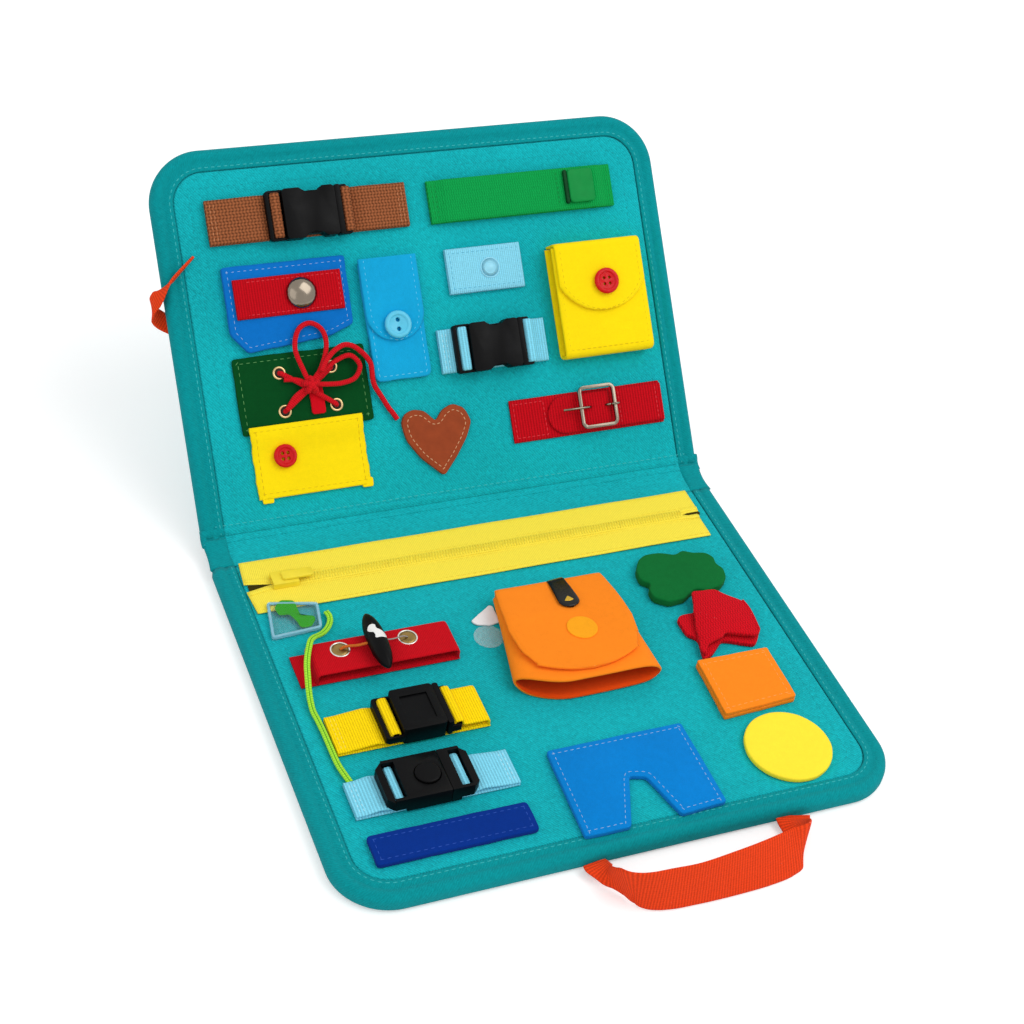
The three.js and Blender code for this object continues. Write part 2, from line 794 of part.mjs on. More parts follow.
const patch = { width: 63.7, height: 39.7, lap: 4.2 };
const patchButton = {
  radius: 6.5,
  height: 3,
  hole: 1,
  spread: 2.2,
  holes: 4,
  alongShare: -0.23,
  asideShare: 0.057,
};

const patchProfile = () => {
  const back = patch.height / 2;
  const step = back - patch.lap - gap;
  const high = felt + gap;
  return polygon([
    [-back, gap],
    [step, gap],
    [step, gap + high],
    [back, gap + high],
    [back, gap + high + felt],
    [step - felt, gap + high + felt],
    [step - felt, gap + felt],
    [-back, gap + felt],
  ]);
};
const patchPlace = onUpper(upperShares.patch);
add(patchPlace, 'yellow_patch', endView(patchProfile(), patch.width), finish.yellow);
add(patchPlace, 'patch_button', button(patchButton).translate(
  patch.width * patchButton.alongShare,
  patch.height * patchButton.asideShare,
  felt + 2 * gap,
), finish.redPlastic);

// Leather heart and the lace that holds it

const heart = { width: 41.6, height: 39.9, thick: 2.4 };
const heartShares = [
  [-0.5, 0.32], [-0.44, 0.44], [-0.31, 0.49], [-0.15, 0.45], [-0.01, 0.28], [0.1, 0.43], [0.26, 0.5],
  [0.42, 0.42], [0.5, 0.22], [0.4, 0], [0.22, -0.25], [0, -0.5], [-0.29, -0.21], [-0.46, 0.07],
];
add(onUpper(upperShares.heart), 'leather_heart', plate(
  polygon(scaled(heartShares, heart.width, heart.height)),
  heart.thick,
  gap,
), finish.leather);

const laceRoute = [
  [-73, 81.5, 10.6], [-70.5, 85.5, 10.2], [-67, 89.3, 9.5], [-62.5, 92.6, 8.8], [-57, 94.6, 8],
  [-52.5, 93.5, 7.4], [-48.5, 90.5, 6.7], [-45.2, 86.8, 6], [-43, 82.5, 5.4], [-42.8, 78, 4.8],
  [-42.8, 73.5, 4.2], [-41.8, 69.5, 3.3], [-39.6, 65.5, 2.6], [-37.6, 61.5, 2.1], [-35.4, 57, 1.9],
  [-33.6, 53.8, 1.85], [-32.2, 51.6, 1.85],
];
add(upperFace, 'lace_tail', cord(laceRoute, laceThick, 8, 22), finish.lace);

// Snap loop: a short strap sewn at both ends

const snapLoop = { length: 45.5, width: 25.2, ring: 6, ringWall: 1.6, ringHeight: 0.8, ringShare: 0.065 };
const ringShape = circle(snapLoop.ring);
ringShape.holes.push(circle(snapLoop.ring - snapLoop.ringWall));
add(onUpper(upperShares.snapLoop), 'snap_loop', fuse(
  box(snapLoop.length, snapLoop.width, webbing, [0, 0, lowLayer]),
  box(snapLoop.length, snapLoop.width, webbing, [0, 0, highLayer]),
  endSeam(-1, snapLoop.length, snapLoop.width),
  endSeam(1, snapLoop.length, snapLoop.width),
  plate(ringShape, snapLoop.ringHeight + webbing / 2, highLayer, 8)
    .translate(snapLoop.length * snapLoop.ringShare, 0, 0),
), finish.sky);

// Yellow pouch with a buttoned flap

const pouch = { width: 55, height: 64.5, deep: 11.2, wall: 2, round: 5 };
const pouchFlap = { width: 53, length: 41, endRadius: 30, thick: 1.7 };
const pouchButton = {
  radius: 7.5,
  height: 3,
  hole: 0.9,
  spread: 2.4,
  holes: 4,
  asideShare: 0.03,
  alongShare: 0.147,
};

const pouchPlace = onUpper(upperShares.pouch);
add(pouchPlace, 'yellow_pouch', cut(
  plate(roundRect(pouch.width, pouch.height, pouch.round), pouch.deep, gap, 3),
  box(
    pouch.width - pouch.wall + overrun,
    pouch.height - pouch.wall + overrun,
    pouch.deep - 2 * pouch.wall,
    [-(pouch.wall + overrun) / 2, (pouch.wall + overrun) / 2, gap + pouch.deep / 2],
  ),
), finish.yellow);

const flapLevel = pouch.deep + 3 * gap;
const flapBack = pouch.height / 2 + gap + pouchFlap.thick;
add(pouchPlace, 'yellow_flap', fuse(
  plate(flapShape(pouchFlap.width, pouchFlap.length, pouchFlap.endRadius), pouchFlap.thick, flapLevel, 6)
    .translate(0, flapBack, 0),
  box(
    pouchFlap.width,
    pouchFlap.thick,
    flapLevel + pouchFlap.thick - gap,
    [0, flapBack - pouchFlap.thick / 2, (flapLevel + pouchFlap.thick + gap) / 2],
  ),
), finish.yellow);
add(pouchPlace, 'pouch_button', button(pouchButton).translate(
  pouch.width * pouchButton.asideShare,
  pouch.height * pouchButton.alongShare,
  flapLevel + pouchFlap.thick + gap,
), finish.redPlastic);

// Belt with a wire frame and its prong

const belt = { length: 95.2, width: 23.8, tongueWidth: 21, tipShare: -0.265, lift: 2 };
const beltFrame = {
  length: 23.5,
  width: 24.9,
  wire: 2,
  round: 4,
  level: 6.1,
  alongShare: 0.05,
  asideShare: 0.097,
};
const beltHole = { length: 4.6, width: 3.2, nearShare: 0.445, farShare: 0.04 };
const prongWire = 1.4;
const prongRing = 2.5;
const beltShares = { rampFoot: 0.58, rampTop: 0.51, farTop: -0.13, farFoot: -0.25 };

const beltPlace = onUpper(upperShares.belt);
const tonguePlan = () => {
  const tip = belt.length * belt.tipShare;
  const half = belt.tongueWidth / 2;
  const shape = new THREE.Shape();
  shape.moveTo(belt.length / 2, half);
  shape.lineTo(tip + half, half);
  shape.absarc(tip + half, 0, half, Math.PI / 2, 1.5 * Math.PI);
  shape.lineTo(belt.length / 2, -half);
  return shape;
};
const beltRise = highLayer + belt.lift;
const tongueLine = thickLine([
  [belt.length / 2, highLayer],
  [beltFrame.length * beltShares.rampFoot, highLayer],
  [beltFrame.length * beltShares.rampTop, beltRise],
  [beltFrame.length * beltShares.farTop, beltRise],
  [beltFrame.length * beltShares.farFoot, highLayer],
  [belt.length * belt.tipShare, highLayer],
], webbing);
const prongY = belt.width * beltFrame.asideShare;
const beltTongue = toSolid(sideView(tongueLine, belt.tongueWidth))
  .intersect(toSolid(plate(tonguePlan(), beltRise + overrun, 0, 6)));
const beltHoles = [beltHole.nearShare, beltHole.farShare].map((share) => box(
  beltHole.length,
  beltHole.width,
  webbing + belt.lift + overrun,
  [beltFrame.length * share, prongY, seat + (webbing + belt.lift + overrun) / 2 - gap / 2],
));
add(beltPlace, 'belt_strap', fuse(
  cut(toGeometry(beltTongue), ...beltHoles),
  box(belt.length, belt.width, webbing, [0, 0, lowLayer]),
  endSeam(1, belt.length, belt.tongueWidth),
), finish.red);

const frameX = belt.length * beltFrame.alongShare;
const frameShape = roundRect(beltFrame.length, beltFrame.width, beltFrame.round);
frameShape.holes.push(roundRect(
  beltFrame.length - 2 * beltFrame.wire,
  beltFrame.width - 2 * beltFrame.wire,
  beltFrame.round - beltFrame.wire,
));
add(beltPlace, 'belt_frame', plate(frameShape, beltFrame.wire, beltFrame.level, 3)
  .translate(frameX, prongY, 0), finish.nickel);

const prongRoute = [
  [13, 7.1], [12.2, 7.4], [11, 6.4], [10.2, 4.6], [8.8, 3.1], [6, 2.75], [3.2, 3], [1.8, 4.4],
  [0.4, 6.6], [-2.5, 8.7], [-6, 9.35], [-10, 9.2], [-17.5, 8.2],
];
const pivotX = frameX + (beltFrame.length - beltFrame.wire) / 2;
const pivotZ = beltFrame.level + beltFrame.wire / 2;
add(beltPlace, 'belt_prong', fuse(
  new THREE.TorusGeometry(prongRing, prongWire / 2, 6, 14).rotateX(Math.PI / 2)
    .translate(pivotX, prongY, pivotZ),
  cord(prongRoute.map(([x, z]) => [x, prongY, z]), prongWire, 6, 30),
), finish.nickel);

// Side loop: a ribbon round the left edge of the upper panel

const sideLoop = { width: 9, reach: 25 };
const sideLoopShares = [
  { at: [0.74, 0.9, 0.042], across: [1, -1, 0], widthShare: 0.45 },
  { at: [0.4, 0.62, 0.044], across: [1, -1, 0], widthShare: 0.7 },
  { at: [0.08, 0.34, 0.06], across: [0.8, -1, 0], widthShare: 0.9 },
  { at: [-0.12, 0.14, 0.032], across: [0.2, -1, 0], widthShare: 0.95 },
  { at: [-0.22, 0.04, -0.08], across: [0, -1, 0], widthShare: 1 },
  { at: [-0.252, -0.04, -0.2], across: [0, -1, 0], widthShare: 1 },
  { at: [-0.208, -0.2, -0.376], across: [-0.1, -1, 0], widthShare: 1 },
  { at: [-0.06, -0.34, -0.464], across: [-0.5, -1, 0], widthShare: 1 },
  { at: [0.2, -0.54, -0.44], across: [-0.9, -1, 0], widthShare: 0.9 },
  { at: [0.4, -0.72, -0.408], across: [-1, -1, 0], widthShare: 0.8 },
];
add(onUpper(upperShares.sideLoop), 'side_loop', ribbon(sideLoopShares.map(({ at, across, widthShare }) => ({
  at: at.map((share) => share * sideLoop.reach),
  across,
  width: sideLoop.width * widthShare,
  thick: webbing,
}))), finish.handle);

// Zip on the lower panel

const zip = {
  length: 270.8,
  width: 39,
  tape: 1,
  split: 14,
  splitWidth: 4,
  chainWidth: 6,
  chainHeight: 2,
  tooth: 1.2,
};
const slider = { length: 14, wall: 1.5, roof: 1.6, play: 0.4, restShare: -0.424 };
const pull = { length: 17, width: 6, thick: 1.2, lug: 3 };
const teeth = 46;

const zipPlace = onLower(lowerShares.zip);
const tapeTop = gap + zip.tape;
const chainStart = zip.split - zip.length / 2;
const chainEnd = zip.length / 2 - strapSeam;

const chainProfile = () => {
  const pitch = (chainEnd - chainStart) / teeth;
  const points = [[chainStart, tapeTop - zip.tape / 2]];
  for (let i = 0; i < teeth; i += 1) {
    const x = chainStart + i * pitch;
    points.push([x, tapeTop + zip.tooth]);
    points.push([x + pitch / 4, tapeTop + zip.chainHeight]);
    points.push([x + pitch / 2, tapeTop + zip.chainHeight]);
    points.push([x + 0.75 * pitch, tapeTop + zip.tooth]);
  }
  points.push([chainEnd, tapeTop + zip.tooth]);
  points.push([chainEnd, tapeTop - zip.tape / 2]);
  return polygon(points);
};
const splitNotch = polygon([
  [-overrun - zip.length / 2, zip.splitWidth],
  [-overrun - zip.length / 2, -zip.splitWidth],
  [chainStart - gap, 0],
]);
add(zipPlace, 'zip_chain', cut(
  fuse(plate(rectangle(zip.length, zip.width), zip.tape, gap), sideView(chainProfile(), zip.chainWidth)),
  plate(splitNotch, zip.tape + 2 * overrun, -overrun),
), finish.zipYellow);

const sliderGeometry = () => {
  const inner = zip.chainWidth + 2 * slider.play;
  const bottom = tapeTop + gap;
  const roofBottom = tapeTop + zip.chainHeight + gap;
  const top = roofBottom + slider.roof;
  return fuse(
    cut(
      box(slider.length, inner + 2 * slider.wall, top - bottom, [0, 0, (top + bottom) / 2]),
      box(slider.length + overrun, inner, 2 * (roofBottom - bottom), [0, 0, bottom]),
    ),
    box(pull.lug, pull.lug, pull.thick + gap, [0, 0, top + (pull.thick + gap) / 2]),
    plate(roundRect(pull.length, pull.width, pull.lug / 2), pull.thick, top + gap, 3)
      .translate((pull.length - pull.lug) / 2, 0, 0),
  );
};
add(zipPlace, 'zip_slider', sliderGeometry().translate(zip.length * slider.restShare, 0, 0), finish.brass);

// Clear pocket, its tag and the cord that hangs from it

const film = 0.6;
const clear = { width: 31, height: 27, seam: 1.5, hollow: 1.4 };
const clearShares = [[-0.36, 0.5], [0.5, 0.27], [0.4, -0.42], [-0.5, -0.48]];
const tag = { width: 19, height: 22.5, thick: 0.8 };
const tagShares = [
  [-0.25, 0.5], [0.11, 0.42], [0.13, -0.1], [0.47, -0.17], [0.5, -0.28], [0.31, -0.5],
  [0, -0.49], [-0.04, -0.27], [-0.16, 0.01], [-0.46, 0.02], [-0.5, 0.29],
];

const clearPlace = onLower(lowerShares.clearPocket);
const clearInner = scaled(clearShares, clear.width - 2 * clear.seam, clear.height - 2 * clear.seam);
clearInner[0][1] += overrun;
clearInner[1][1] += overrun;
// The pocket laps over the zip tape, so its underside steps up there
const tapeEdge = lowerDepth * (lowerShares.zip[1] - lowerShares.clearPocket[1]) - zip.width / 2 - gap;
const clearSeat = tapeTop + gap;
add(clearPlace, 'clear_pocket', cut(
  plate(
    polygon(scaled(clearShares, clear.width, clear.height)),
    clearSeat - gap + 2 * film + clear.hollow,
    gap,
  ),
  plate(polygon(clearInner), clear.hollow, clearSeat + film),
  box(2 * clear.width, clear.height, 2 * clearSeat, [0, tapeEdge + clear.height / 2, 0]),
), finish.clear);
add(clearPlace, 'green_tag', plate(
  polygon(scaled(tagShares, tag.width, tag.height)),
  tag.thick,
  clearSeat + film + (clear.hollow - tag.thick) / 2,
).translate(clear.width * 0.04, clear.height * 0.07, 0), finish.tagGreen);

const limeThick = 3.2;
const limeRoute = [
  [-101.3, 69.5, 1.95], [-100.6, 66.5, 1.95], [-101.3, 62.5, 2.1], [-104, 57.8, 2.5], [-108, 53.5, 3.6],
  [-112, 49.8, 6.2], [-115.5, 46.3, 9.2], [-118.5, 42.5, 11.2], [-121, 37.6, 11], [-123, 33, 10.4],
  [-124.7, 28, 9.2], [-126, 22.3, 8], [-127, 17, 5.4], [-127.9, 11, 3.2], [-128.5, 3.5, 2],
  [-128, -2.5, 1.95], [-127.5, -12, 1.95], [-127.3, -24, 1.95], [-127, -33, 1.95], [-125.8, -40, 1.95],
  [-124.7, -45.2, 1.95],
];
add(lowerFace, 'lime_cord', cord(limeRoute, limeThick, 8, 28), finish.lime);

// Toggle band, its cord and the toggle

const band = { length: 85.6, width: 21.5, rise: 6.5, leftShare: -0.4, rightShare: 0.49 };
const toggle = { length: 40, radius: 4.5, waist: 2.2, groove: 3, tip: 3 };
const toggleEye = { radius: 3, asideShare: 0.214, alongShare: 0.17 };
const toggleCord = 1.8;

const togglePlace = onLower(lowerShares.toggle);
const bandCrown = gap + felt / 2 + band.rise;
const bandLine = thickLine([
  [band.length * band.leftShare, gap + felt / 2],
  [band.length * band.leftShare, bandCrown],
  [band.length * band.rightShare, bandCrown],
  [band.length * band.rightShare, gap + felt / 2],
], felt);
const bandEyes = [-1, 1].map((side) => [
  side * band.length * toggleEye.asideShare,
  band.width * toggleEye.alongShare,
]);
add(togglePlace, 'toggle_band', cut(
  fuse(
    box(band.length, band.width, felt, [0, 0, gap + felt / 2]),
    sideView(bandLine, band.width),
  ),
  ...bandEyes.map(([x, y]) => plate(circle(toggleEye.radius), felt + overrun, bandCrown - felt, 6)
    .translate(x, y, 0)),
), finish.red);

const toggleLevel = bandCrown + felt / 2 + gap + toggle.radius;
const toggleProfile = [
  [0, -toggle.length / 2],
  [toggle.radius * 0.6, -toggle.length / 2],
  [toggle.radius, toggle.tip - toggle.length / 2],
  [toggle.radius, -toggle.groove],
  [toggle.waist, -toggle.groove / 2],
  [toggle.waist, toggle.groove / 2],
  [toggle.radius, toggle.groove],
  [toggle.radius, toggle.length / 2 - toggle.tip],
  [toggle.radius * 0.6, toggle.length / 2],
  [0, toggle.length / 2],
];
add(togglePlace, 'toggle', turned(toggleProfile, 18).rotateX(Math.PI / 2)
  .translate(0, 0, toggleLevel), finish.black);

// A ring round the toggle's waist with a leg down into each eyelet
const ringRadius = toggle.waist + gap + toggleCord / 2;
const toggleLegs = bandEyes.map(([x, y]) => cord([
  [Math.sign(x) * ringRadius, 0, toggleLevel],
  [x * 0.55, y * 0.4, toggleLevel - toggle.radius / 2],
  [x * 0.9, y * 0.9, bandCrown + 2 * toggleCord],
  [x, y, bandCrown],
  [x, y, bandCrown - toggleCord],
], toggleCord, 6, 10));
add(togglePlace, 'toggle_cord', fuse(
  new THREE.TorusGeometry(ringRadius, toggleCord / 2, 6, 16).rotateX(Math.PI / 2)
    .translate(0, 0, toggleLevel),
  ...toggleLegs,
), finish.elastic);

// Push-button buckle on its strap

const push = {
  length: 84.3,
  width: 21.5,
  body: 47,
  across: 26,
  height: 9,
  corner: 3.4,
  split: 8.5,
  wall: 2.5,
};
const pushWindow = { length: 6, from: 14, width: 22.5 };
const pushButton = { radius: 6.5, hole: 6.9, height: 3.4, travel: 1.5, stand: 1.2, rim: 0.6 };
const pushTongue = { length: 12, width: 15, play: 0.3, thick: 2.4 };
const pushAsideShare = -0.04;
const endBarHeight = 7.6;
const innerBar = { width: 1.6, height: 3 };

const pushPlace = onLower(lowerShares.push);
const octagon = (from, to) => {
  const end = push.body / 2;
  const half = push.across / 2;
  const left = from === -end ? push.corner : 0;
  const right = to === end ? push.corner : 0;
  return polygon([
    [from, left - half],
    [from + left, -half],
    [to - right, -half],
    [to, right - half],
    [to, half - right],
    [to - right, half],
    [from + left, half],
    [from, half - left],
  ].filter(([x, y], i, all) => {
    const [px, py] = all[(i + all.length - 1) % all.length];
    return x !== px || y !== py;
  }));
};
const endWindow = (side) => {
  const length = pushWindow.length;
  return box(length, pushWindow.width, push.height + 2 * overrun, [
    side * (pushWindow.from + length / 2),
    0,
    push.height / 2,
  ]);
};
// The end bar is a little lower than the body
const endBarCut = (side) => {
  const from = pushWindow.from + pushWindow.length;
  const length = push.body / 2 - from + overrun;
  return box(length, push.across + overrun, overrun + push.height - endBarHeight, [
    side * (from + length / 2),
    0,
    endBarHeight + (overrun + push.height - endBarHeight) / 2,
  ]);
};
// Room under the end, where the webbing comes in
const endBarFloor = (side) => {
  const from = pushWindow.from;
  const length = push.body / 2 - from + overrun;
  return box(length, push.across + overrun, 2 * barRaise, [side * (from + length / 2), 0, 0]);
};
// The webbing turns over a bar across the middle of the window
const windowBar = (side) => box(
  innerBar.width,
  (push.across + pushWindow.width) / 2,
  innerBar.height,
  [side * (pushWindow.from + pushWindow.length / 2), 0, barRaise + innerBar.height / 2],
);
const tongueLevel = push.wall + pushTongue.thick / 2 + pushTongue.play;
const tongueHollow = box(
  pushTongue.length + 2 * pushTongue.play + overrun,
  pushTongue.width + 2 * pushTongue.play,
  pushTongue.thick + 2 * pushTongue.play,
  [push.split + overrun / 2 - pushTongue.length / 2, 0, tongueLevel],
);
const buttonFloor = tongueLevel + pushTongue.thick / 2 + pushTongue.play;
const pushX = push.length * pushAsideShare;
add(pushPlace, 'push_buckle_body', fuse(
  cut(
    plate(octagon(-push.body / 2, push.split), push.height),
    endWindow(-1),
    endBarCut(-1),
    endBarFloor(-1),
    tongueHollow,
    plate(circle(pushButton.hole), push.height, buttonFloor - gap, 10),
  ),
  windowBar(-1),
).translate(pushX, 0, seat), finish.black);
add(pushPlace, 'push_buckle_tongue', fuse(
  cut(
    plate(octagon(push.split + gap, push.body / 2), push.height),
    endWindow(1),
    endBarCut(1),
    endBarFloor(1),
  ),
  windowBar(1),
  box(pushTongue.length + gap, pushTongue.width, pushTongue.thick, [
    push.split + gap - pushTongue.length / 2 + pushTongue.play,
    0,
    tongueLevel,
  ]),
).translate(pushX, 0, seat), finish.black);
add(pushPlace, 'push_button', turned([
  [0, 0],
  [pushButton.radius, 0],
  [pushButton.radius, pushButton.height - pushButton.rim],
  [pushButton.radius - pushButton.rim, pushButton.height],
  [0, pushButton.height],
], 22).translate(pushX, 0, seat + push.height + pushButton.stand - pushButton.height), finish.black);

add(pushPlace, 'push_strap', strap(push.length, push.width, [-1, 1].map((end) => ({
  end,
  x: pushX + end * (pushWindow.from + pushWindow.length / 2),
  bar: innerBar.width,
  top: seat + barRaise + innerBar.height,
}))), finish.sky);

// Navy strip

const navy = { length: 82.1, width: 17.9, thick: 3, round: 1.5 };
add(onLower(lowerShares.navy), 'navy_strip', plate(
  roundRect(navy.length, navy.width, navy.round),
  navy.thick,
  gap,
  2,
), finish.navy);

// Orange pouch, its flap, the tab on it and a bit of film beside it

const orange = {
  length: 72.5,
  wall: 2,
  backHeight: 9.5,
  kneeHeight: 12.5,
  frontHeight: 14,
  backWidth: 66,
  frontWidth: 80.5,
};
const orangeShares = { knee: 0.35, backAside: 0.04, frontAside: -0.0255, turn: 0.8 };
const domeShares = [
  [-0.85, 0], [-1, 0.4], [-0.98, 0.64], [-0.88, 0.9], [-0.7, 1], [0.7, 1], [0.88, 0.9], [0.98, 0.64],
  [1, 0.4], [0.85, 0],
];
const pouchCorner = { along: 20, back: 12 };
const orangePlace = onLower(lowerShares.orangePouch);

const mix = (a, b, share) => a + (b - a) * share;
// One cross section of the pouch, inset by a wall, at a share of the way from the back to the front
const pouchSection = (share, y, inset, floor) => {
  const half = mix(orange.backWidth, orange.frontWidth, share) / 2 - inset;
  const centre = mix(orangeShares.backAside, orangeShares.frontAside, share) * orange.frontWidth;
  const height = share < orangeShares.knee
    ? mix(orange.backHeight, orange.kneeHeight, share / orangeShares.knee)
    : mix(orange.kneeHeight, orange.frontHeight, (share - orangeShares.knee) / (1 - orangeShares.knee));
  const top = Math.max(height - inset, floor + gap);
  return domeShares.map(([x, z]) => new THREE.Vector3(centre + x * half, y, mix(floor, gap + top, z)));
};
const pouchLoft = (shares, inset, floor, reach) => loft(shares.map((share) => pouchSection(
  share,
  orange.length / 2 - share * orange.length - (share === 1 ? reach : 0),
  inset,
  floor,
)));
// The front left corner lies further back
const pouchLeft = orangeShares.frontAside * orange.frontWidth - orange.frontWidth / 2;
const cornerCut = plate(polygon([
  [pouchLeft - pouchCorner.along, -orange.length / 2 - pouchCorner.back],
  [pouchLeft + 2 * pouchCorner.along, -orange.length / 2 - pouchCorner.back],
  [pouchLeft - pouchCorner.along, 2 * pouchCorner.back - orange.length / 2],
]), orange.frontHeight + 2 * overrun, -overrun);
add(orangePlace, 'orange_pouch', cut(
  pouchLoft([0, orangeShares.knee, 1], 0, gap, 0),
  pouchLoft([0.12, orangeShares.knee, 1], orange.wall, gap + orange.wall, overrun),
  cornerCut,
), finish.orange);

const orangeFlap = { width: 72.2, length: 70, thick: 1.6, asideShare: -0.01 };
const orangeFlapShares = [
  [-0.45, 0.5], [-0.5, 0.1], [-0.49, -0.14], [-0.4, -0.35], [-0.24, -0.46], [-0.06, -0.5], [0.14, -0.46],
  [0.3, -0.36], [0.44, -0.2], [0.5, -0.02], [0.5, 0.2], [0.48, 0.5],
];
const flapRise = gap + gap + gap + orangeFlap.thick / 2;
const pouchBack = orange.length / 2;
const kneeY = pouchBack - orangeShares.knee * orange.length;
const slopeEnd = pouchBack - orangeFlap.length - overrun;
const frontRise = (orange.frontHeight - orange.kneeHeight) / (kneeY + pouchBack);
const flapLine = (rise) => [
  [pouchBack + gap + orangeFlap.thick / 2, orange.backHeight + rise],
  [kneeY, orange.kneeHeight + rise],
  [slopeEnd, orange.kneeHeight + frontRise * (kneeY - slopeEnd) + rise],
];
const flapSheet = endView(thickLine(flapLine(flapRise), orangeFlap.thick), orange.frontWidth);
const flapCutter = plate(
  polygon(scaled(orangeFlapShares, orangeFlap.width, orangeFlap.length)),
  orange.frontHeight + 2 * overrun,
  -overrun,
).translate(orangeFlap.width * orangeFlap.asideShare, pouchBack - orangeFlap.length / 2 + 2 * gap, 0);
// Behind the pouch the flap turns down to where it is sewn on
const flapTurn = box(
  orange.backWidth - orange.wall,
  orangeFlap.thick,
  orangeShares.turn * orange.backHeight,
  [
    orangeShares.backAside * orange.frontWidth,
    pouchBack + gap + orangeFlap.thick / 2,
    orange.backHeight + flapRise + orangeFlap.thick / 2 - (orangeShares.turn * orange.backHeight) / 2,
  ],
);
add(orangePlace, 'orange_flap', fuse(
  toGeometry(toSolid(flapSheet).intersect(toSolid(flapCutter))),
  flapTurn,
), finish.orange);

const tab = { width: 11, thick: 1.2, fromAside: 2.6, toAside: 8.8 };
const tabShares = [[0.01, 1], [0.3, 1], [0.335, 0.8], [0.35, 0.45]];
const tabRise = flapRise + orangeFlap.thick / 2 + 2 * gap + tab.thick / 2;
add(orangePlace, 'black_tab', ribbon(tabShares.map(([share, wide]) => ({
  at: [
    mix(tab.fromAside, tab.toAside, share / orangeShares.knee),
    pouchBack - share * orange.length,
    mix(orange.backHeight, orange.kneeHeight, share / orangeShares.knee) + tabRise,
  ],
  across: [1, 0, 0],
  width: tab.width * wide,
  thick: tab.thick,
}))), finish.black);

const scrap = { width: 15, height: 18.5, xShare: -0.4643, yShare: 0.3705 };
const scrapShares = [[-0.5, 0], [0.5, 0.5], [0.27, 0], [0.17, -0.5]];
add(orangePlace, 'film_corner', plate(
  polygon(scaled(scrapShares, scrap.width, scrap.height)),
  2 * film,
  gap,
).translate(orange.frontWidth * scrap.xShare, orange.length * scrap.yShare, 0), finish.clear);

// Loose felt shapes held by hook-and-loop

const cloud = { width: 50.6, height: 38.4, thick: 5 };
const cloudShares = [
  [-0.49, 0.22], [-0.4, 0.41], [-0.29, 0.5], [-0.1, 0.48], [0.05, 0.39], [0.16, 0.46], [0.27, 0.37],
  [0.41, 0.33], [0.47, 0.2], [0.44, 0.08], [0.5, -0.05], [0.46, -0.23], [0.35, -0.36], [0.16, -0.41],
  [0.03, -0.34], [-0.14, -0.48], [-0.32, -0.5], [-0.47, -0.37], [-0.48, -0.2], [-0.41, -0.08], [-0.5, 0.01],
];
add(onLower(lowerShares.cloud), 'green_cloud', plate(
  polygon(scaled(cloudShares, cloud.width, cloud.height)),
  cloud.thick,
  gap,
), finish.cloudGreen);

const trunk = { width: 41.6, height: 46, thick: 3, fold: 7.7, sheet: 2 };
const trunkShares = [
  [-0.11, 0.5], [0.27, 0.42], [0.32, 0.31], [0.5, 0.21], [0.49, 0.04], [0.44, -0.3], [0.32, -0.42],
  [-0.08, -0.25], [-0.3, -0.43], [-0.47, -0.5], [-0.37, -0.16], [-0.48, -0.07], [-0.5, 0.19],
  [-0.42, 0.25], [-0.22, 0.24], [-0.15, 0.29],
];
const trunkFoldShares = [
  [-0.14, 0.27], [-0.09, 0.46], [0.25, 0.38], [0.3, 0.27], [0.49, 0.19], [0.49, 0.04], [0.44, -0.3],
  [0.32, -0.4], [-0.06, -0.24],
];
const trunkHemShares = [[0.42, 0.2], [0.49, 0.2], [0.49, 0.04], [0.44, -0.3], [0.38, -0.29]];
const trunkPart = (shares, top, bottom) => plate(
  polygon(scaled(shares, trunk.width, trunk.height)),
  top - bottom,
  gap + bottom,
);
add(onLower(lowerShares.trunk), 'red_trunk', fuse(
  trunkPart(trunkShares, trunk.thick, 0),
  trunkPart(trunkFoldShares, trunk.fold, trunk.fold - trunk.sheet),
  trunkPart(trunkHemShares, trunk.fold, trunk.thick / 2),
), finish.red);

const square = { width: 43.7, height: 39, thick: 5.2, lip: 0.8 };
const squareShares = [[-0.5, -0.5], [0.48, -0.44], [0.5, 0.49], [-0.46, 0.5]];
add(onLower(lowerShares.square), 'orange_square', fuse(
  plate(polygon(scaled(squareShares, square.width, square.height)), square.thick / 2, gap),
  plate(
    polygon(scaled(squareShares, square.width - 2 * square.lip, square.height - 2 * square.lip)),
    square.thick,
    gap,
  ),
), finish.orange);

const disc = { radius: 22.6, thick: 3 };
add(onLower(lowerShares.circle), 'yellow_circle', plate(
  circle(disc.radius),
  disc.thick,
  gap,
  16,
), finish.yellow);

const trousers = { width: 77.6, height: 55.9, thick: 3 };
const trousersShares = [
  [-0.47, 0.5], [0.497, 0.5], [0.5, -0.466], [0.172, -0.491], [0.078, -0.01], [-0.028, 0.031],
  [-0.184, -0.5], [-0.5, -0.498],
];
add(onLower(lowerShares.trousers), 'blue_trousers', plate(
  polygon(scaled(trousersShares, trousers.width, trousers.height)),
  trousers.thick,
  gap,
), finish.blue);

// Front handle: a band sewn to the front edge at both ends

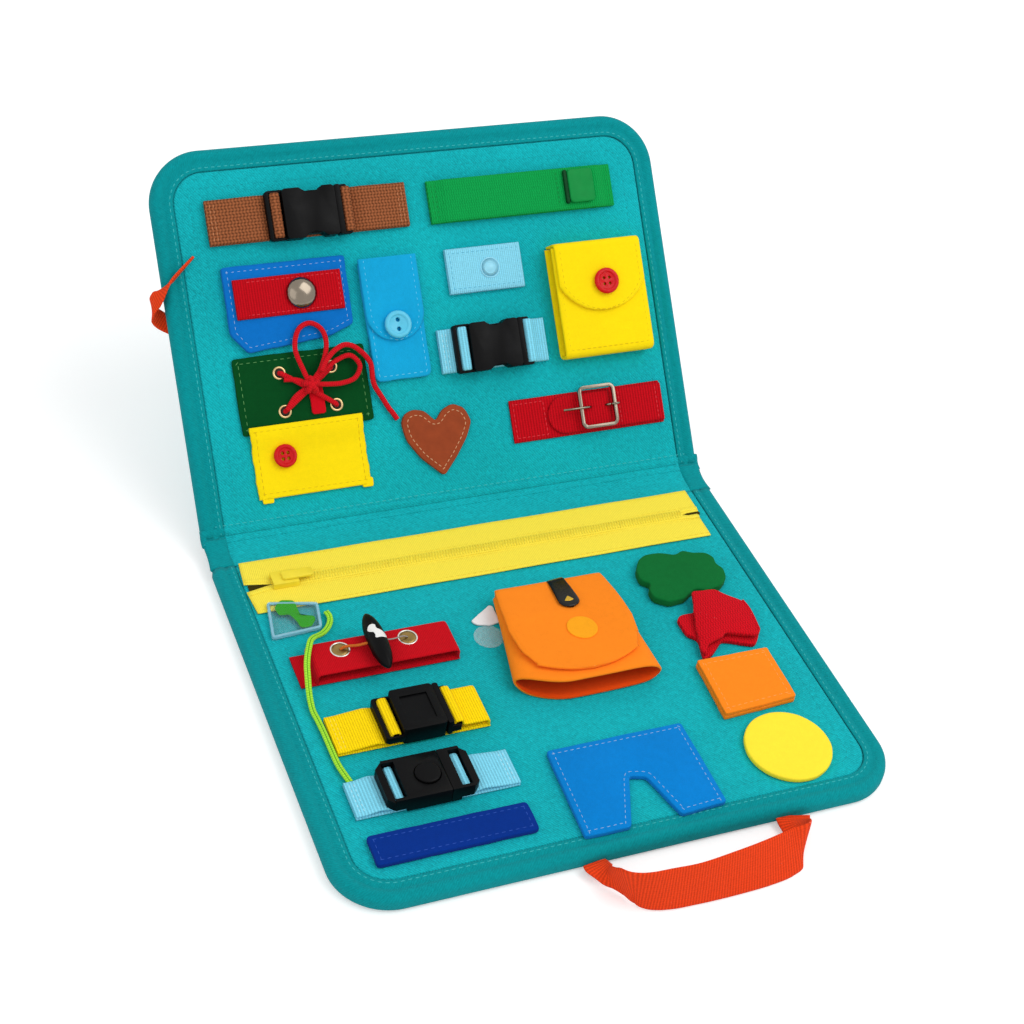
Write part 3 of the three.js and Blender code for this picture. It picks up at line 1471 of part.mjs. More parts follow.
const handle = { span: 109, width: 25, thick: 1.4, hem: 0.5, play: 0.45, out: 26.4, level: 4 };
const handleShares = [
  { x: -0.486, out: 0, rise: 0, across: [1, 0, 0], wide: 0.44 },
  { x: -0.486, out: 0.058, rise: 0, across: [1, 0, 0], wide: 0.46 },
  { x: -0.477, out: 0.251, rise: 0.029, across: [0.85, 0.2, 0.45], wide: 0.6 },
  { x: -0.45, out: 0.591, rise: 0.6, across: [0.3, 0.5, 0.81], wide: 0.68 },
  { x: -0.408, out: 0.885, rise: 0.943, across: [-0.42, 0.45, 0.79], wide: 0.78 },
  { x: -0.326, out: 0.949, rise: 0.986, across: [-0.15, 0.55, 0.82], wide: 0.98 },
  { x: -0.207, out: 0.968, rise: 0.986, across: [0.1, 0.6, 0.79], wide: 1 },
  { x: -0.05, out: 0.949, rise: 0.986, across: [0.33, 0.6, 0.72], wide: 1 },
  { x: 0.16, out: 0.93, rise: 0.986, across: [0.34, 0.6, 0.72], wide: 1 },
  { x: 0.353, out: 0.892, rise: 0.986, across: [0.35, 0.61, 0.71], wide: 1 },
  { x: 0.45, out: 0.787, rise: 0.986, across: [0.35, 0.61, 0.71], wide: 0.94 },
  { x: 0.518, out: 0.591, rise: 1.029, across: [0.4, 0.1, 0.9], wide: 0.88 },
  { x: 0.529, out: 0.308, rise: 0.5, across: [0.8, 0.1, 0.6], wide: 0.84 },
  { x: 0.521, out: 0.1, rise: 0, across: [1, 0, 0], wide: 0.8 },
  { x: 0.521, out: 0, rise: 0, across: [1, 0, 0], wide: 0.8 },
];
const handleRise = 7;
const handleStations = handleShares.map(({ x, out, rise, across, wide }) => ({
  at: [x * handle.span, -handle.play - out * handle.out, handle.level - panelThick + rise * handleRise],
  across,
  width: handle.width * wide,
  thick: out === 0 ? handle.hem : handle.thick,
}));
add(onLower(lowerShares.handle), 'front_handle', ribbon(handleStations), finish.handle);

export default board;
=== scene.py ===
"""Dresses the folding felt sensory board: felt, webbing, buckles, pockets, laces, zip and loose shapes."""

import math

import bmesh
import bpy
import numpy as np
from mathutils import Matrix, Vector


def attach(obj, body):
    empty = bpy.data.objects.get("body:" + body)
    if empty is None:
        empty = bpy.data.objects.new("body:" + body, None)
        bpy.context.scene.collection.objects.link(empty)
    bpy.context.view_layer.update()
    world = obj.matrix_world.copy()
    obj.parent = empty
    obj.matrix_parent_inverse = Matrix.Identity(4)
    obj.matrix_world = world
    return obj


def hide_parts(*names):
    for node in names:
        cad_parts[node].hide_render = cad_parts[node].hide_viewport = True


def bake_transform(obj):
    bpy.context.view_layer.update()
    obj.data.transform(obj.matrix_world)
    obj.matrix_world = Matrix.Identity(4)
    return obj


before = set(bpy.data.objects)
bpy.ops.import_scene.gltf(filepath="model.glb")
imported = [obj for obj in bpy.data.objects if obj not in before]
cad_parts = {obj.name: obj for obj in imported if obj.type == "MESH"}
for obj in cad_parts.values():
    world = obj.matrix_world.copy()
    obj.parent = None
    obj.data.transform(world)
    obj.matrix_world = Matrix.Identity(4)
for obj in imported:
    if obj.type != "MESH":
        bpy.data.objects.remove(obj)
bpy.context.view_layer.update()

bl_info = {
    "name": "Felt Sensory Board",
    "version": (1, 0, 0),
    "blender": (4, 5, 0),
    "location": "View3D > Sidebar > Sensory Board",
    "description": "Builds the dressed pieces of a folding felt sensory board on its CAD frame",
    "category": "Object",
}

# Frames: millimetres on a panel's face, as across, up the face and height over it

PANEL = 9.0
WIDTH = 300.0
LOWER_DEPTH = 234.0
UPPER_DEPTH = 210.0
SPINE_WIDTH = 19.8
SPINE_TILT = math.radians(9.6)
UPPER_TILT = math.radians(47.4)
ROUND = 30.0
FOLD_GAP = 0.3
TURN = 2 * math.pi
TINY = 1e-9


def tilted(origin, tilt):
    """A frame whose second axis climbs from +Y by a tilt: its origin and its three unit axes."""
    c, s = math.cos(tilt), math.sin(tilt)
    return np.array(origin), np.array([[1, 0, 0], [0, c, s], [0, -s, c]])


FACES = {
    "lower": tilted((0, 0, PANEL), 0),
    "spine": tilted((0, LOWER_DEPTH / 2, PANEL), SPINE_TILT),
    "upper": tilted(
        (0, LOWER_DEPTH / 2 + SPINE_WIDTH * math.cos(SPINE_TILT), PANEL + SPINE_WIDTH * math.sin(SPINE_TILT)),
        UPPER_TILT,
    ),
}
BODY_OF = {"lower": "lower_panel", "spine": "spine_strip", "upper": "upper_panel"}


def place(points, face):
    """Points in a face's millimetres as points of the row frame in metres."""
    origin, axes = FACES[face]
    return (origin + np.asarray(points, float) @ axes) / 1000


def on_upper(x_share, y_share):
    """A place on the upper panel, given in shares of its width and depth."""
    return np.array([x_share * WIDTH, y_share * UPPER_DEPTH])


def on_lower(x_share, y_share):
    """A place on the lower panel, given in shares of its width and depth."""
    return np.array([x_share * WIDTH, y_share * LOWER_DEPTH])


# Surfaces: each is a tuple of points, quads, triangles and one texture point per vertex


def grid(points, close_rows=False, close_columns=False, texture=None):
    """Quads between neighbouring rows and columns of a grid of points, wrapped round where it closes."""
    rows, columns = points.shape[:2]
    r = np.arange(rows if close_rows else rows - 1)
    c = np.arange(columns if close_columns else columns - 1)
    a = r[:, None] * columns + c[None]
    b = r[:, None] * columns + (c[None] + 1) % columns
    d = ((r[:, None] + 1) % rows) * columns + c[None]
    e = ((r[:, None] + 1) % rows) * columns + (c[None] + 1) % columns
    quads = np.stack([a, b, e, d], -1).reshape(-1, 4)
    if texture is None:
        texture = points[..., :2]
    return points.reshape(-1, 3), quads, np.zeros((0, 3), int), texture.reshape(-1, 2)


def joined(parts):
    """Several surfaces as one, their indices counted on."""
    start, points, quads, triangles, texture = 0, [], [], [], []
    for v, q, t, uv in parts:
        points.append(v)
        quads.append(q + start)
        triangles.append(t + start)
        texture.append(uv)
        start += len(v)
    return tuple(np.concatenate(x) for x in (points, quads, triangles, texture))


def capped(surface, ring, pole, flip):
    """A surface with a fan of triangles from a ring of its points to one new point."""
    v, q, t, uv = surface
    fan = np.stack([ring, np.roll(ring, -1), np.full(len(ring), len(v))], -1)
    if flip:
        fan = fan[:, ::-1]
    return np.concatenate([v, [pole]]), q, np.concatenate([t, fan]), np.concatenate([uv, [uv[ring].mean(0)]])


def turned_out(surface):
    """The same surface with its faces outwards: reversed where the volume under its triangles is negative."""
    v, q, t, uv = surface
    tri = np.concatenate([q[:, [0, 1, 2]], q[:, [0, 2, 3]], t])
    a, b, c = v[tri[:, 0]], v[tri[:, 1]], v[tri[:, 2]]
    if np.einsum("ij,ij->", a - v.mean(0), np.cross(b - v.mean(0), c - v.mean(0))) < 0:
        return v, q[:, ::-1], t[:, ::-1], uv
    return surface


def unit(vectors):
    """Vectors along the last axis as unit vectors."""
    return vectors / np.maximum(np.linalg.norm(vectors, axis=-1, keepdims=True), TINY)


def run_length(points):
    """The way gone along a line at each of its points."""
    return np.concatenate([[0], np.cumsum(np.linalg.norm(np.diff(points, axis=0), axis=1))])


def sampled(s, at, points):
    """A line's points at the places s along it, where at says how far along each given point is."""
    return np.stack([np.interp(s, at, column) for column in np.asarray(points).T], -1)


def signed_area(p):
    """Twice the area inside a closed outline, negative where it runs clockwise."""
    return np.sum(p[:, 0] * np.roll(p[:, 1], -1) - p[:, 1] * np.roll(p[:, 0], -1))


def ended(rings, first=None, last=None, texture=None):
    """Rings of points as a surface with its faces outwards, closed at each end by a fan to a given point or to the
    ring's middle."""
    m, surface = rings.shape[1], grid(rings, close_columns=True, texture=texture)
    n = len(surface[0])
    out = capped(surface, np.arange(m), rings[0].mean(0) if first is None else first, True)
    return turned_out(capped(out, np.arange(n - m, n), rings[-1].mean(0) if last is None else last, False))


def ripple(n, waves, size, phase=0.0):
    """A closed sum of three sine waves along n points, for edges that aren't quite straight."""
    a = TURN * np.arange(n) / n
    second = 0.6 * np.sin((2 * waves + 1) * a + 2.1 * phase + 1)
    third = 0.4 * np.sin((3 * waves + 2) * a + 3)
    return size * (np.sin(waves * a + phase) + second + third) / 2


def dense(outline, step=1.2, soften=2):
    """A closed outline walked at even steps, its corners rounded by averaging each point with its neighbours."""
    p = np.asarray(outline, float)
    closed = np.concatenate([p, p[:1]])
    at = run_length(closed)
    n = max(int(round(at[-1] / step)), 12)
    out = sampled(np.arange(n) * at[-1] / n, at, closed)
    for _ in range(soften):
        out = 0.5 * out + 0.25 * (np.roll(out, 1, 0) + np.roll(out, -1, 0))
    return out


def inwards(outline):
    """Unit normals of a closed outline that point into it."""
    along = unit(np.roll(outline, -1, 0) - np.roll(outline, 1, 0))
    return np.sign(signed_area(outline)) * np.stack([-along[:, 1], along[:, 0]], -1)


def rims(outline, bottom, thick, edge, wobble, phase, step, soften):
    """A felt plate's outline, a little uneven, and the rings that carry it up through two quarter circles."""
    p = dense(outline, step, soften)
    normal = inwards(p)
    p = p + normal * ripple(len(p), 5, wobble, phase)[:, None]
    turn = np.linspace(0, TURN / 4, 4)
    inset = np.concatenate([edge * (1 - np.sin(turn)), edge * (1 - np.cos(turn))])
    height = np.concatenate([edge * (1 - np.cos(turn)), thick - edge * (1 - np.sin(turn))])
    return p, [np.column_stack([p + normal * i, np.full(len(p), bottom + h)]) for i, h in zip(inset, height)]


def slab(outline, bottom, thick, edge=0.5, crown=0.0, lift=None, wobble=0.12, phase=0.0, step=1.2, soften=2):
    """A felt plate: an outline carried up through a quarter circle at each rim, and shrunk to a pole above and
    below. Crown adds a low dome, and lift a height that depends on the place."""
    p, rings = rims(outline, bottom, thick, edge, wobble, phase, step, soften)
    centre, top = p.mean(0), rings[-1][:, :2]
    for share in (0.12, 0.3, 0.5, 0.7, 0.88):
        level = bottom + thick + crown * np.sin(share * TURN / 4)
        rings.append(np.column_stack([top + (centre - top) * share, np.full(len(p), level)]))
    points = np.array(rings)
    poles = np.array([[*centre, bottom], [*centre, bottom + thick + crown]])
    if lift is not None:
        for some in (points, poles):
            some[..., 2] += lift(some[..., 0], some[..., 1])
    return ended(points, *poles)


def flat_slab(outline, bottom, thick, edge=0.5, wobble=0.1, phase=0.0, step=1.2, soften=2):
    """A felt plate of any outline: rims as in slab, and flat faces cut into triangles from a strip of corners."""
    p, rings = rims(outline, bottom, thick, edge, wobble, phase, step, soften)
    v, q, t, uv = grid(np.array(rings), close_columns=True)
    flat = bmesh.new()
    flat.faces.new([flat.verts.new((x, y, 0)) for x, y in rings[-1][:, :2]])
    flat.verts.index_update()
    cut = bmesh.ops.triangulate(flat, faces=flat.faces[:])["faces"]
    fan = np.array([[c.index for c in f.verts] for f in cut])
    flat.free()
    a, b, c = (rings[-1][i, :2] for i in fan[0])
    fan = fan if np.cross(b - a, c - a) > 0 else fan[:, ::-1]
    return v, q[:, ::-1] if signed_area(p) < 0 else q, np.concatenate([t, fan + len(v) - len(p), fan[:, ::-1]]), uv


def curve(points, count):
    """A smooth line through given points: cubic pieces whose slopes come from each point's two neighbours."""
    p = np.asarray(points, float)
    knot = np.concatenate([[0], np.cumsum(np.linalg.norm(np.diff(p, axis=0), axis=1) ** 0.5)])
    slope = np.gradient(p, knot, axis=0)
    s = np.linspace(0, knot[-1], count)
    i = np.clip(np.searchsorted(knot, s, side="right") - 1, 0, len(p) - 2)
    h = (knot[i + 1] - knot[i])[:, None]
    u = ((s - knot[i]) / h[:, 0])[:, None]
    return (
        (2 * u**3 - 3 * u**2 + 1) * p[i]
        + (u**3 - 2 * u**2 + u) * h * slope[i]
        + (3 * u**2 - 2 * u**3) * p[i + 1]
        + (u**3 - u**2) * h * slope[i + 1]
    )


def rounded(points, step=0.5, soften=4):
    """An open line walked at even steps, its bends rounded by averaging, its two ends kept."""
    p = np.asarray(points, float)
    at = run_length(p)
    out = sampled(np.linspace(0, at[-1], max(int(round(at[-1] / step)), 4) + 1), at, p)
    for _ in range(soften):
        out[1:-1] = 0.5 * out[1:-1] + 0.25 * (out[2:] + out[:-2])
    return out


def strip(centre, across, half, thick, columns=13, crown=None):
    """A band along a line: at each place a flat section with round edges, its texture in millimetres along
    and across. Crown is a height added over the section, given as rows by columns."""
    centre = np.asarray(centre, float)
    half, thick = (np.broadcast_to(np.asarray(size, float), len(centre))[:, None] for size in (half, thick))
    along = unit(np.gradient(centre, axis=0))
    side = np.broadcast_to(np.asarray(across, float), centre.shape)
    side = unit(side - along * np.sum(side * along, 1, keepdims=True))
    normal = np.cross(side, along)
    u = np.linspace(-1, 1, columns)
    a = np.concatenate([u, [1.0], u[::-1], [-1.0]])
    rim = np.concatenate([np.zeros(columns), [0.35], np.zeros(columns), [-0.35]])
    b = np.concatenate([np.full(columns, 0.5), [0.0], np.full(columns, -0.5), [0.0]])
    b[[0, columns - 1, columns + 1, 2 * columns]] *= 0.8
    reach, lift = half * a + thick * rim, thick * b
    if crown is not None:
        lift = lift + np.concatenate([crown, crown[:, -1:], crown[:, ::-1], crown[:, :1]], 1)
    points = centre[:, None] + side[:, None] * reach[..., None] + normal[:, None] * lift[..., None]
    texture = np.stack([np.broadcast_to(run_length(centre)[:, None], reach.shape), reach], -1)
    return ended(points, texture=texture)


def hoops(centre, along, radius, sides, reference=(0.05, 0.1, 1.0)):
    """Circles of points round a line, each square to the line, and the turn of each point."""
    side = unit(np.cross(along, np.asarray(reference, float)))
    up = np.cross(side, along)
    turn = TURN * np.arange(sides) / sides
    cos, sin = np.cos(turn)[None, :, None], np.sin(turn)[None, :, None]
    return centre[:, None] + radius * (cos * side[:, None] + sin * up[:, None]), turn


def tube(centre, radius, sides=12, reference=(0.05, 0.1, 1.0)):
    """A circle carried along a line: at each place the circle's plane is square to the line."""
    centre = np.asarray(centre, float)
    points, turn = hoops(centre, unit(np.gradient(centre, axis=0)), radius, sides, reference)
    texture = np.stack(np.broadcast_arrays(run_length(centre)[:, None], turn[None] * radius), -1)
    return ended(points, centre[0], centre[-1], texture)


def loop_tube(centre, radius, sides=10):
    """A tube along a closed line."""
    points, turn = hoops(centre, unit(np.roll(centre, -1, 0) - np.roll(centre, 1, 0)), radius, sides)
    places = np.arange(len(centre))[:, None] * np.linalg.norm(centre[1] - centre[0])
    texture = np.stack(np.broadcast_arrays(places, turn[None] * radius), -1)
    return turned_out(grid(points, close_rows=True, close_columns=True, texture=texture))


def lathe(profile, at, segments=40):
    """A half profile of radius and height turned about an upright line."""
    p = np.asarray(profile, float)
    turn = TURN * np.arange(segments) / segments
    inner = p[p[:, 0] > 1e-6]
    radius, height = inner[:, None, 0], np.broadcast_to(at[2] + inner[:, None, 1], (len(inner), segments))
    points = np.stack([at[0] + radius * np.cos(turn), at[1] + radius * np.sin(turn), height], -1)
    if len(inner) == len(p):
        return turned_out(grid(points, close_rows=True, close_columns=True))
    return ended(points, *([at[0], at[1], at[2] + p[end, 1]] for end in (0, -1)))


def seam(path, level, pitch=4.2, length=2.7, width=0.62, height=0.34, closed=False, surface=None):
    """Stitches along a line: each is a small lens, long in the line's direction, its rings a half circle."""
    p = np.asarray(path, float)
    if closed:
        p = np.concatenate([p, p[:1]])
    at = run_length(p)
    count = max(int(round(at[-1] / pitch)), 1)
    middle = (np.arange(count) + 0.5) * at[-1] / count
    centre, ahead, behind = (
        sampled(s, at, p[:, :2]) for s in (middle, np.minimum(middle + 0.4, at[-1]), np.maximum(middle - 0.4, 0))
    )
    along = unit(ahead - behind)
    side = np.stack([-along[:, 1], along[:, 0]], -1)
    t = np.linspace(0.06, np.pi - 0.06, 5)
    a = TURN * np.arange(6) / 6
    run = -np.cos(t)[:, None] * length / 2 + 0 * a[None]
    belly = np.sin(t)[:, None] ** 0.6
    wide = belly * np.cos(a)[None] * width / 2
    high = belly * np.sin(a)[None] * height
    flat = centre[:, None, None] + run[..., None] * along[:, None, None] + wide[..., None] * side[:, None, None]
    base = level if surface is None else surface(flat[..., 0], flat[..., 1])
    points = np.concatenate([flat, (base + np.broadcast_to(high, flat.shape[:3]))[..., None]], -1)
    texture = np.stack([run, wide], -1)
    return joined([ended(lens, texture=texture) for lens in points])


def rectangle(width, height, at=(0.0, 0.0)):
    """A rectangle's four corners."""
    x, y = width / 2, height / 2
    return np.array([[-x, -y], [x, -y], [x, y], [-x, y]]) + np.asarray(at)


def round_rectangle(width, height, radius, at=(0.0, 0.0), steps=8):
    """A rectangle whose corners are quarter circles."""
    a = np.linspace(0, np.pi / 2, steps)
    x, y = width / 2 - radius, height / 2 - radius
    corners = []
    for k, (sx, sy) in enumerate([(1, 1), (-1, 1), (-1, -1), (1, -1)]):
        turn = a + k * np.pi / 2
        corners.append(np.stack([sx * x + radius * np.cos(turn), sy * y + radius * np.sin(turn)], -1))
    return np.concatenate(corners) + np.asarray(at)


def shaped(shares, width, height, at=(0.0, 0.0)):
    """An outline given in shares of its width and height."""
    return np.array(shares) * [width, height] + np.asarray(at)


# Objects


def shown(name, mesh, material):
    """A mesh with smooth faces and one material as an object of the scene."""
    mesh.polygons.foreach_set("use_smooth", np.ones(len(mesh.polygons), bool))
    mesh.materials.append(material)
    obj = bpy.data.objects.new(name, mesh)
    bpy.context.scene.collection.objects.link(obj)
    return obj


def build(name, surface, face, material, body=None, replaces=()):
    """A surface in a face's millimetres as an object of the row frame. It rides on its body, unless that is "blend"."""
    v, q, t, uv = surface
    mesh = bpy.data.meshes.new(name)
    mesh.from_pydata((place(v, face) if face else v / 1000).tolist(), [], q.tolist() + t.tolist())
    layer = mesh.uv_layers.new(name="UVMap")
    loops = np.empty(len(mesh.loops), int)
    mesh.loops.foreach_get("vertex_index", loops)
    layer.data.foreach_set("uv", uv[loops].astype(np.float32).ravel())
    obj = shown(name, mesh, material)
    if body != "blend":
        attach(obj, body or BODY_OF[face])
    if replaces:
        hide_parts(*replaces)
    return obj


def dressed_copy(node, material, body, bevel, angle=30, segments=2):
    """A CAD node's shape with merged faces and rounded edges as an object."""
    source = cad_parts[node]
    work = bmesh.new()
    work.from_mesh(source.data)
    work.transform(source.matrix_world)
    bmesh.ops.remove_doubles(work, verts=work.verts, dist=2e-6)
    bmesh.ops.dissolve_limit(work, angle_limit=math.radians(1.0), verts=work.verts, edges=work.edges)
    bmesh.ops.recalc_face_normals(work, faces=work.faces)
    mesh = bpy.data.meshes.new(node + "_dressed")
    work.to_mesh(mesh)
    work.free()
    obj = shown(mesh.name, mesh, material)
    rim = obj.modifiers.new("Rim", "BEVEL")
    rim.width = bevel / 1000
    rim.segments = segments
    rim.limit_method = "ANGLE"
    rim.angle_limit = math.radians(angle)
    rim.harden_normals = True
    rim.use_clamp_overlap = True
    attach(obj, body)
    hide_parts(node)
    return obj


# Materials


def linear(code):
    """A six-digit colour as linear red, green, blue and one."""
    v = np.array([int(code[i : i + 2], 16) / 255 for i in (1, 3, 5)])
    return (*np.where(v <= 0.04045, v / 12.92, ((v + 0.055) / 1.055) ** 2.4), 1.0)


class Tree:
    """Short words for making and wiring shader nodes."""

    def __init__(self, tree):
        self.tree = tree

    def add(self, kind, inputs=None, **settings):
        """A node of a kind, with its settings made and its inputs set or linked."""
        node = self.tree.nodes.new(kind)
        for key, value in settings.items():
            setattr(node, key, value)
        for key, value in (inputs or {}).items():
            if isinstance(value, bpy.types.NodeSocket):
                self.tree.links.new(value, node.inputs[key])
            else:
                node.inputs[key].default_value = value
        return node

    def math(self, operation, a, b=0.0):
        return self.add("ShaderNodeMath", {0: a, 1: b}, operation=operation).outputs[0]

    def sum(self, a, b):
        return self.math("ADD", a, b)

    def times(self, a, b):
        return self.math("MULTIPLY", a, b)

    def about(self, value, middle, weight):
        """How far a value is from its middle, times a weight."""
        return self.times(self.math("SUBTRACT", value, middle), weight)

    def noise(self, at, scale, detail, distortion=0.0):
        """Noise between zero and one at a place."""
        inputs = {"Vector": at, "Scale": scale, "Detail": detail, "Distortion": distortion}
        return self.add("ShaderNodeTexNoise", inputs).outputs[0]

    def mix(self, share, low, high):
        """A colour between two colours."""
        return self.add("ShaderNodeMix", {0: share, 6: low, 7: high}, data_type="RGBA").outputs[2]

    def seen(self):
        """One where a camera, glossy or transmission ray arrives, otherwise zero."""
        path = self.add("ShaderNodeLightPath").outputs
        bent = self.math("MAXIMUM", path["Is Glossy Ray"], path["Is Transmission Ray"])
        return self.math("MAXIMUM", path["Is Camera Ray"], bent)


def new_group(name, inputs, outputs, wire):
    """A shader group with named inputs, numbers or vectors, and outputs, which wire makes from the inputs."""
    group = bpy.data.node_groups.new(name, "ShaderNodeTree")
    kinds = {"Colour": "NodeSocketColor", "Position": "NodeSocketVector", "Face": "NodeSocketVector"}
    for label, value in inputs.items():
        kind = kinds.get(label, "NodeSocketFloat")
        socket = group.interface.new_socket(name=label, in_out="INPUT", socket_type=kind)
        if value is not None:
            socket.default_value = value
    for label in outputs:
        group.interface.new_socket(name=label, in_out="OUTPUT", socket_type=kinds.get(label, "NodeSocketFloat"))
    tree = Tree(group)
    tree.add("NodeGroupOutput", wire(tree, tree.add("NodeGroupInput").outputs))
    return group


def cloth_outputs(tree, given, height, tone, middle):
    """A cloth's outputs: its height, and its colour lighter where the tone is over the middle one."""
    level = tree.math("MAXIMUM", tree.sum(tree.about(tone, middle, given["Variation"]), 1.0), 0.0)
    colour = tree.add("ShaderNodeVectorMath", {0: given["Colour"], "Scale": level}, operation="SCALE")
    return {"Colour": colour.outputs[0], "Height": height}


def felt_nap(tree, given):
    """Pressed wool: fine fibres over soft clumps, lighter where the fibres stand up."""
    at = given["Position"]
    fibre, clump, broad = tree.noise(at, 1500.0, 3.0, 1.2), tree.noise(at, 300.0, 3.0), tree.noise(at, 28.0, 1.0)
    height = tree.sum(tree.times(fibre, 0.65), tree.times(clump, 0.35))
    return cloth_outputs(tree, given, height, tree.sum(height, tree.about(broad, 0.5, 0.35)), 0.5)


def twill_nap(tree, given):
    """Brushed cloth: a noisy nap over a faint diagonal line, a sine of the two face directions."""
    flat = tree.add("ShaderNodeSeparateXYZ", {0: given["Face"]}).outputs
    at = given["Position"]
    fine, blot, broad = tree.noise(at, 1700.0, 3.0, 0.8), tree.noise(at, 520.0, 3.0), tree.noise(at, 14.0, 1.0)
    run = tree.sum(tree.sum(flat[0], tree.times(flat[1], 0.8)), tree.times(blot, 2.6))
    line = tree.math("SINE", tree.math("DIVIDE", tree.times(run, TURN), given["Pitch"]))
    height = tree.sum(tree.times(line, 0.2), tree.times(fine, 0.8))
    tone = tree.sum(tree.sum(height, tree.about(broad, 0.5, 0.4)), tree.about(blot, 0.5, 0.8))
    return cloth_outputs(tree, given, height, tone, 0.4)


def webbing_weave(tree, given):
    """Woven tape: ribs across it, shifted from one thread to the next, and cells between the threads, as sines
    of the texture millimetres."""
    flat = tree.add("ShaderNodeSeparateXYZ", {0: given["Face"]}).outputs
    along = tree.math("DIVIDE", tree.times(flat[0], TURN), given["Rib"])
    aside = tree.math("DIVIDE", tree.times(flat[1], TURN), given["Thread"])
    wave = tree.math("SINE", tree.times(aside, 0.5))
    rib = tree.math("SINE", tree.sum(along, tree.times(wave, given["Shift"])))
    cell = tree.about(tree.math("ABSOLUTE", wave), 0.64, given["Cells"])
    height = tree.sum(tree.times(rib, 0.32), tree.sum(cell, 0.1))
    height = tree.sum(height, tree.times(tree.noise(given["Position"], 900.0, 2.0), 0.6))
    return cloth_outputs(tree, given, height, height, 0.4)


def scuff_marks(tree, given):
    """Handling marks: a fine grain and faint patches that make a surface a little rougher."""
    patch, grain = tree.noise(given["Position"], 160.0, 4.0), tree.noise(given["Position"], 2600.0, 1.0)
    extra = tree.times(tree.about(patch, 0.5, given["Amount"]), 2.0)
    return {"Roughness": tree.sum(given["Roughness"], extra), "Height": grain}


CLOTH = {"Colour": (0.5, 0.5, 0.5, 1), "Position": None, "Variation": 0.3}
WOVEN = {**CLOTH, "Face": None}
KINDS = {
    "felt": ("Felt nap", CLOTH, ("Colour", "Height"), felt_nap),
    "twill": ("Twill nap", {**WOVEN, "Pitch": 1.5}, ("Colour", "Height"), twill_nap),
    "weave": ("Webbing weave", {**WOVEN, "Rib": 1.4, "Thread": 0.9, "Shift": 0.15, "Cells": 0.16},
              ("Colour", "Height"), webbing_weave),
    "scuffs": ("Scuffs", {"Position": None, "Roughness": 0.4, "Amount": 0.15}, ("Roughness", "Height"), scuff_marks),
}
GROUPS = {}
MADE = {}


def shader_group(name):
    """A shader group by its kind, made at its first use."""
    if name not in GROUPS:
        GROUPS[name] = new_group(*KINDS[name])
    return GROUPS[name]


def once(make):
    """The maker of a material, which gives the one that it made before where the name is known."""

    def maker(name, *words, **values):
        if name not in MADE:
            MADE[name] = make(name, *words, **values)
        return MADE[name]

    return maker


def started(name, inputs):
    """A new material, its tree, its shader with the given inputs, and its texture places."""
    material = bpy.data.materials.new(name)
    material.use_nodes = True
    material.node_tree.nodes.clear()
    tree = Tree(material.node_tree)
    surface = tree.add("ShaderNodeBsdfPrincipled", inputs)
    tree.add("ShaderNodeOutputMaterial", {0: surface.outputs[0]})
    return material, tree, surface, tree.add("ShaderNodeTexCoord").outputs


def finished(tree, surface, colour, height, strength, distance):
    """Wires the colour, and the height through a bump of a depth in millimetres."""
    tree.tree.links.new(colour, surface.inputs["Base Color"])
    bump = tree.add("ShaderNodeBump", {"Height": height, "Strength": strength, "Distance": distance / 1000})
    tree.tree.links.new(bump.outputs[0], surface.inputs["Normal"])


def shaded(code, low, high):
    """A colour made darker and lighter, as two colours."""
    rgb = np.array(linear(code)[:3])
    return (*(rgb * low), 1), (*np.minimum(rgb * high, 1), 1)


@once
def cloth(name, code, kind="felt", variation=0.35, strength=0.5, depth=0.25, rough=0.95, sheen=0.03, **values):
    """A cloth material of one of the three cloth groups."""
    material, tree, surface, places = started(name, {
        "Roughness": rough, "Sheen Weight": sheen, "Sheen Roughness": 0.6, "Specular IOR Level": 0.04,
    })
    inputs = {"Colour": linear(code), "Variation": variation, "Position": places["Object"], **values}
    if kind != "felt":
        inputs["Face"] = places["UV"]
    group = tree.add("ShaderNodeGroup", inputs, node_tree=shader_group(kind))
    finished(tree, surface, group.outputs["Colour"], group.outputs["Height"], strength, depth)
    return material


@once
def hard(name, code, rough=0.35, metal=0.0, scuffs=0.12, grain=0.12, alpha=1.0, specular=0.5):
    """A moulded or metal material with handling marks."""
    material, tree, surface, places = started(name, {"Metallic": metal, "Alpha": alpha, "Specular IOR Level": specular})
    at = places["Object"]
    inputs = {"Roughness": rough, "Amount": scuffs, "Position": at}
    marks = tree.add("ShaderNodeGroup", inputs, node_tree=shader_group("scuffs"))
    tree.tree.links.new(marks.outputs["Roughness"], surface.inputs["Roughness"])
    colour = tree.mix(tree.noise(at, 220.0, 2.0), *shaded(code, 0.88, 1.1))
    finished(tree, surface, colour, marks.outputs["Height"], grain, 0.05)
    return material


@once
def leather_material(name, code):
    """Thin smooth leather: small cells pressed into it and a slow change of tone."""
    material, tree, surface, places = started(name, {"Roughness": 0.62, "Specular IOR Level": 0.12})
    at = places["Object"]
    cell = tree.add("ShaderNodeTexVoronoi", {"Vector": at, "Scale": 1100.0}, feature="DISTANCE_TO_EDGE").outputs[0]
    finished(tree, surface, tree.mix(tree.noise(at, 160.0, 4.0), *shaded(code, 0.72, 1.28)), cell, 0.35, 0.12)
    return material


# Panels


def far_corners(x, far, r, steps):
    """The quarter circles at a panel's two far corners, the right one first."""
    a = np.linspace(0, TURN / 4, steps)
    right = np.stack([x - r + r * np.cos(a), far - r + r * np.sin(a)], -1)
    return right, np.stack([r - x - r * np.sin(a), far - r + r * np.cos(a)], -1)


def panel_outline(depth, inset, fold, steps=14):
    """The outline of a panel shrunk by an inset: square at the fold, quarter circles at the far corners."""
    x = WIDTH / 2 - inset
    return np.concatenate([[[-x, fold], [x, fold]], *far_corners(x, depth - inset, ROUND - inset, steps)])


